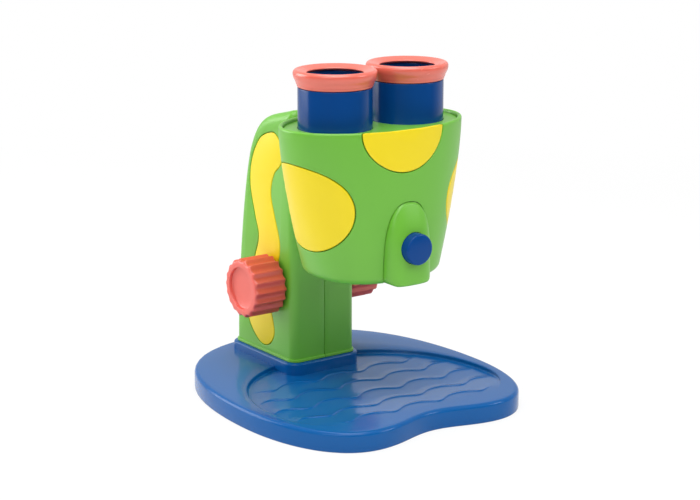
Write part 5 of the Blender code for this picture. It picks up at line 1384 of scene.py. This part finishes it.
def button_section():
    face = button_low.y - BUTTON_PROUD
    flange = button_low.y + FLANGE_BACK
    flange_back = flange + FLANGE_THICKNESS
    section = [(BUTTON_RADIUS * share, face + BUTTON_CROWN * share ** 2) for share in BUTTON_FACE_SHARES]
    section += [(BUTTON_RADIUS - left, face + BUTTON_CROWN + back)
                for left, back in quarter(BUTTON_EDGE_ROUND, 6)]
    section += [(BUTTON_RADIUS, flange), (FLANGE_RADIUS, flange), (FLANGE_RADIUS, flange_back),
                (STEM_RADIUS, flange_back), (STEM_RADIUS, button_high.y), (0.0, button_high.y)]
    return section


button = turned("push_button", button_section(), (0.0, BUTTON_Z), "Y", loop=False, sharp=BUTTON_HARD_EDGE)
BUTTON_BLUE = (8, 66, 134)
button_blue = moulded("button_blue_gloss", BUTTON_BLUE, 0.22, grain=0.05, cloud=0.04, scuffs=0.16,
                      specular_ior_level=0.15)
fit(button, button_blue, "light_button", "barrel_blue", "light_button")


# Lamp, switch and board
# A clear 5 mm lamp on two bent leads, a black push switch and a green lacquered board. They sit inside the
# nose and the head's front, keep the shapes of their nodes, and only take their finish here.

def coated_board():
    """Green lacquer over copper: faint tracks show as a slightly lighter weave."""
    finish = Finish("coated_board")
    weave = finish.node("ShaderNodeTexBrick", {}, {"Vector": finish.place, "Scale": 380.0}, "Fac")
    drift = finish.noise(300.0, 3.0)
    return finish.shade(finish.mix(weave * 0.5 + drift * 0.4, ink(14, 74, 38), ink(34, 108, 58)),
                        0.35 + drift * 0.15, weave, 0.1)


def lamp_resin():
    """Clear resin, a little cloudy."""
    finish = Finish("lamp_resin", transmission_weight=0.7, ior=1.5)
    drift = finish.noise(500.0)
    return finish.shade(finish.mix(drift, ink(226, 232, 236), ink(246, 249, 250)), 0.06 + drift * 0.08)


paint_nodes({"light_led": lamp_resin(), "light_switch": inner_black, "switch_plunger": inner_black,
             "light_board": coated_board()})


# Battery box
# A black holder for two small cells stands on the head's floor behind the optics, with a steel strip on
# top. A green door under it, held by one screw, opens in the head's underside.

def cell_sleeve():
    """A bare metal sleeve with fine drawn lines along the cell."""
    finish = Finish("cell_sleeve", metallic=0.8)
    drawn = finish.node("ShaderNodeMapping", {}, {"Vector": finish.place, "Scale": (900.0, 900.0, 20.0)})
    lines = finish.noise(1.0, 3.0, drawn)
    return finish.shade(finish.mix(lines, ink(120, 122, 126), ink(176, 178, 182)), 0.3 + lines * 0.15,
                        lines, 0.1)


sleeve = cell_sleeve()
paint_nodes({"battery_holder": inner_black, "battery_cell_1": sleeve, "battery_cell_2": sleeve,
             "battery_contact": plated_steel, "battery_door": leaf_green})


# Studio
# A plain white floor and soft white light all round. Broad lamps hang at the left, overhead and in front,
# with weaker ones at the front's two sides and behind. The camera looks down a little from the front left.

FLOOR_RADIUS = 900.0
FLOOR_SHADOW_RADIUS = 420.0
CAMERA_PLACE = (-639.3, -894.2, 366.1)
CAMERA_LOOKS_ALONG = (0.5672, 0.7868, -0.2434)
CAMERA_LENS = 95.67
CAMERA_SENSOR = 36.0
ROOM_LEVEL = 0.66
ROOM_DIM = 0.12
ROOM_DARK_TO = 0.45
ROOM_WHITE_FROM = 0.75
CEILING_DARK_TO = 0.6
CEILING_WHITE_FROM = 0.88
# How much of the floor's own shading shows near the object, and the share of its radius where that has faded
FLOOR_SHADE = 0.16
FLOOR_WHITE_FROM = 0.95
WHITE = (1.0, 1.0, 1.0, 1.0)
LAMPS_AIM = (0.0, 0.0, 90.0)
# Each lamp's place, its width, and its power in watts
LAMPS = {"lamp_left": ((-760.0, 960.0, 500.0), 850.0, 8.8),
         "lamp_fill": ((-940.0, -560.0, 640.0), 600.0, 1.8),
         "lamp_top": ((-50.0, 0.0, 1100.0), 700.0, 4.4),
         "lamp_front": ((-260.0, -660.0, 1150.0), 900.0, 6.8),
         "lamp_right": ((780.0, -820.0, 640.0), 380.0, 2.4),
         "lamp_back": ((620.0, 900.0, 380.0), 600.0, 0.15)}


def rays_that_see(nodes):
    """1 for what the camera sees, straight or in a mirror or through glass, and 0 for the light itself."""
    kinds = ("Is Camera Ray", "Is Glossy Ray", "Is Transmission Ray")
    seen = [nodes.node("ShaderNodeLightPath", out=kind) for kind in kinds]
    return seen[0] | seen[1] | seen[2]


def build_floor():
    shape = bmesh.new()
    bmesh.ops.create_circle(shape, cap_ends=True, segments=96, radius=FLOOR_RADIUS)
    floor = piece_from("studio_floor", shape)
    finish = Finish("floor_paper", roughness=0.9)
    fibre = finish.noise(400.0, 3.0)
    finish.shade(finish.mix(fibre, ink(240, 240, 240), ink(246, 246, 246)))
    distance = finish.node("ShaderNodeVectorMath", {"operation": "LENGTH"}, {0: finish.place}, "Value")
    plain = finish.ramp(distance / (FLOOR_RADIUS * MM), (FLOOR_SHADOW_RADIUS / FLOOR_RADIUS, 0.0),
                        (FLOOR_WHITE_FROM, 1.0))
    lit = Signal(finish, finish.shader.outputs[0])
    bright = finish.node("ShaderNodeEmission", {}, {"Color": WHITE, "Strength": 1.0})
    share = rays_that_see(finish) * (plain * FLOOR_SHADE + (1 - FLOOR_SHADE))
    both = finish.node("ShaderNodeMixShader", {}, {0: share, 1: lit, 2: bright})
    finish.feed(finish.tree.nodes["Material Output"].inputs["Surface"], both)
    floor.data.materials.append(finish.material)


def light_world():
    """White behind the object and above it, dim on the camera's side as in a room with the lamps off."""
    world = bpy.data.worlds.new("studio")
    world.use_nodes = True
    bpy.context.scene.world = world
    room = Nodes(world.node_tree)
    towards = room.node("ShaderNodeTexCoord", out="Generated")
    away = room.node("ShaderNodeVectorMath", {"operation": "DOT_PRODUCT"},
                     {0: towards, 1: (CAMERA_LOOKS_ALONG[0], CAMERA_LOOKS_ALONG[1], 0.0)}, "Value")
    up = room.node("ShaderNodeSeparateXYZ", {}, {0: towards}, "Z")
    behind = room.ramp(away * 0.5 + 0.5, (ROOM_DARK_TO, 0.0), (ROOM_WHITE_FROM, 1.0))
    above = room.ramp(up * 0.5 + 0.5, (CEILING_DARK_TO, 0.0), (CEILING_WHITE_FROM, 1.0))
    dim, bright, backdrop = (room.node("ShaderNodeBackground", {}, {"Color": WHITE, "Strength": strength})
                             for strength in (ROOM_LEVEL * ROOM_DIM, ROOM_LEVEL, 1.0))
    around = room.node("ShaderNodeMixShader", {}, {0: behind | above, 1: dim, 2: bright})
    straight = room.node("ShaderNodeLightPath", out="Is Camera Ray")
    through = room.node("ShaderNodeLightPath", out="Is Transmission Ray")
    whole = room.node("ShaderNodeMixShader", {}, {0: straight | through, 1: around, 2: backdrop})
    room.feed(world.node_tree.nodes["World Output"].inputs["Surface"], whole)


def hang_lamp(name, place, width, power):
    lamp = bpy.data.lights.new(name, "AREA")
    lamp.shape = "SQUARE"
    lamp.size = width * MM
    lamp.energy = power
    item = bpy.data.objects.new(name, lamp)
    item.location = Vector(place) * MM
    item.rotation_euler = (Vector(LAMPS_AIM) - Vector(place)).to_track_quat("-Z", "Y").to_euler()
    bpy.context.scene.collection.objects.link(item)


build_floor()
light_world()
for name, (place, width, power) in LAMPS.items():
    hang_lamp(name, place, width, power)

camera = bpy.data.objects.new("camera", bpy.data.cameras.new("camera"))
camera.data.lens = CAMERA_LENS
camera.data.sensor_width = CAMERA_SENSOR
camera.location = Vector(CAMERA_PLACE) * MM
camera.rotation_euler = Vector(CAMERA_LOOKS_ALONG).to_track_quat("-Z", "Y").to_euler()
bpy.context.scene.collection.objects.link(camera)
bpy.context.scene.camera = camera
bpy.context.scene.view_settings.view_transform = "Standard"
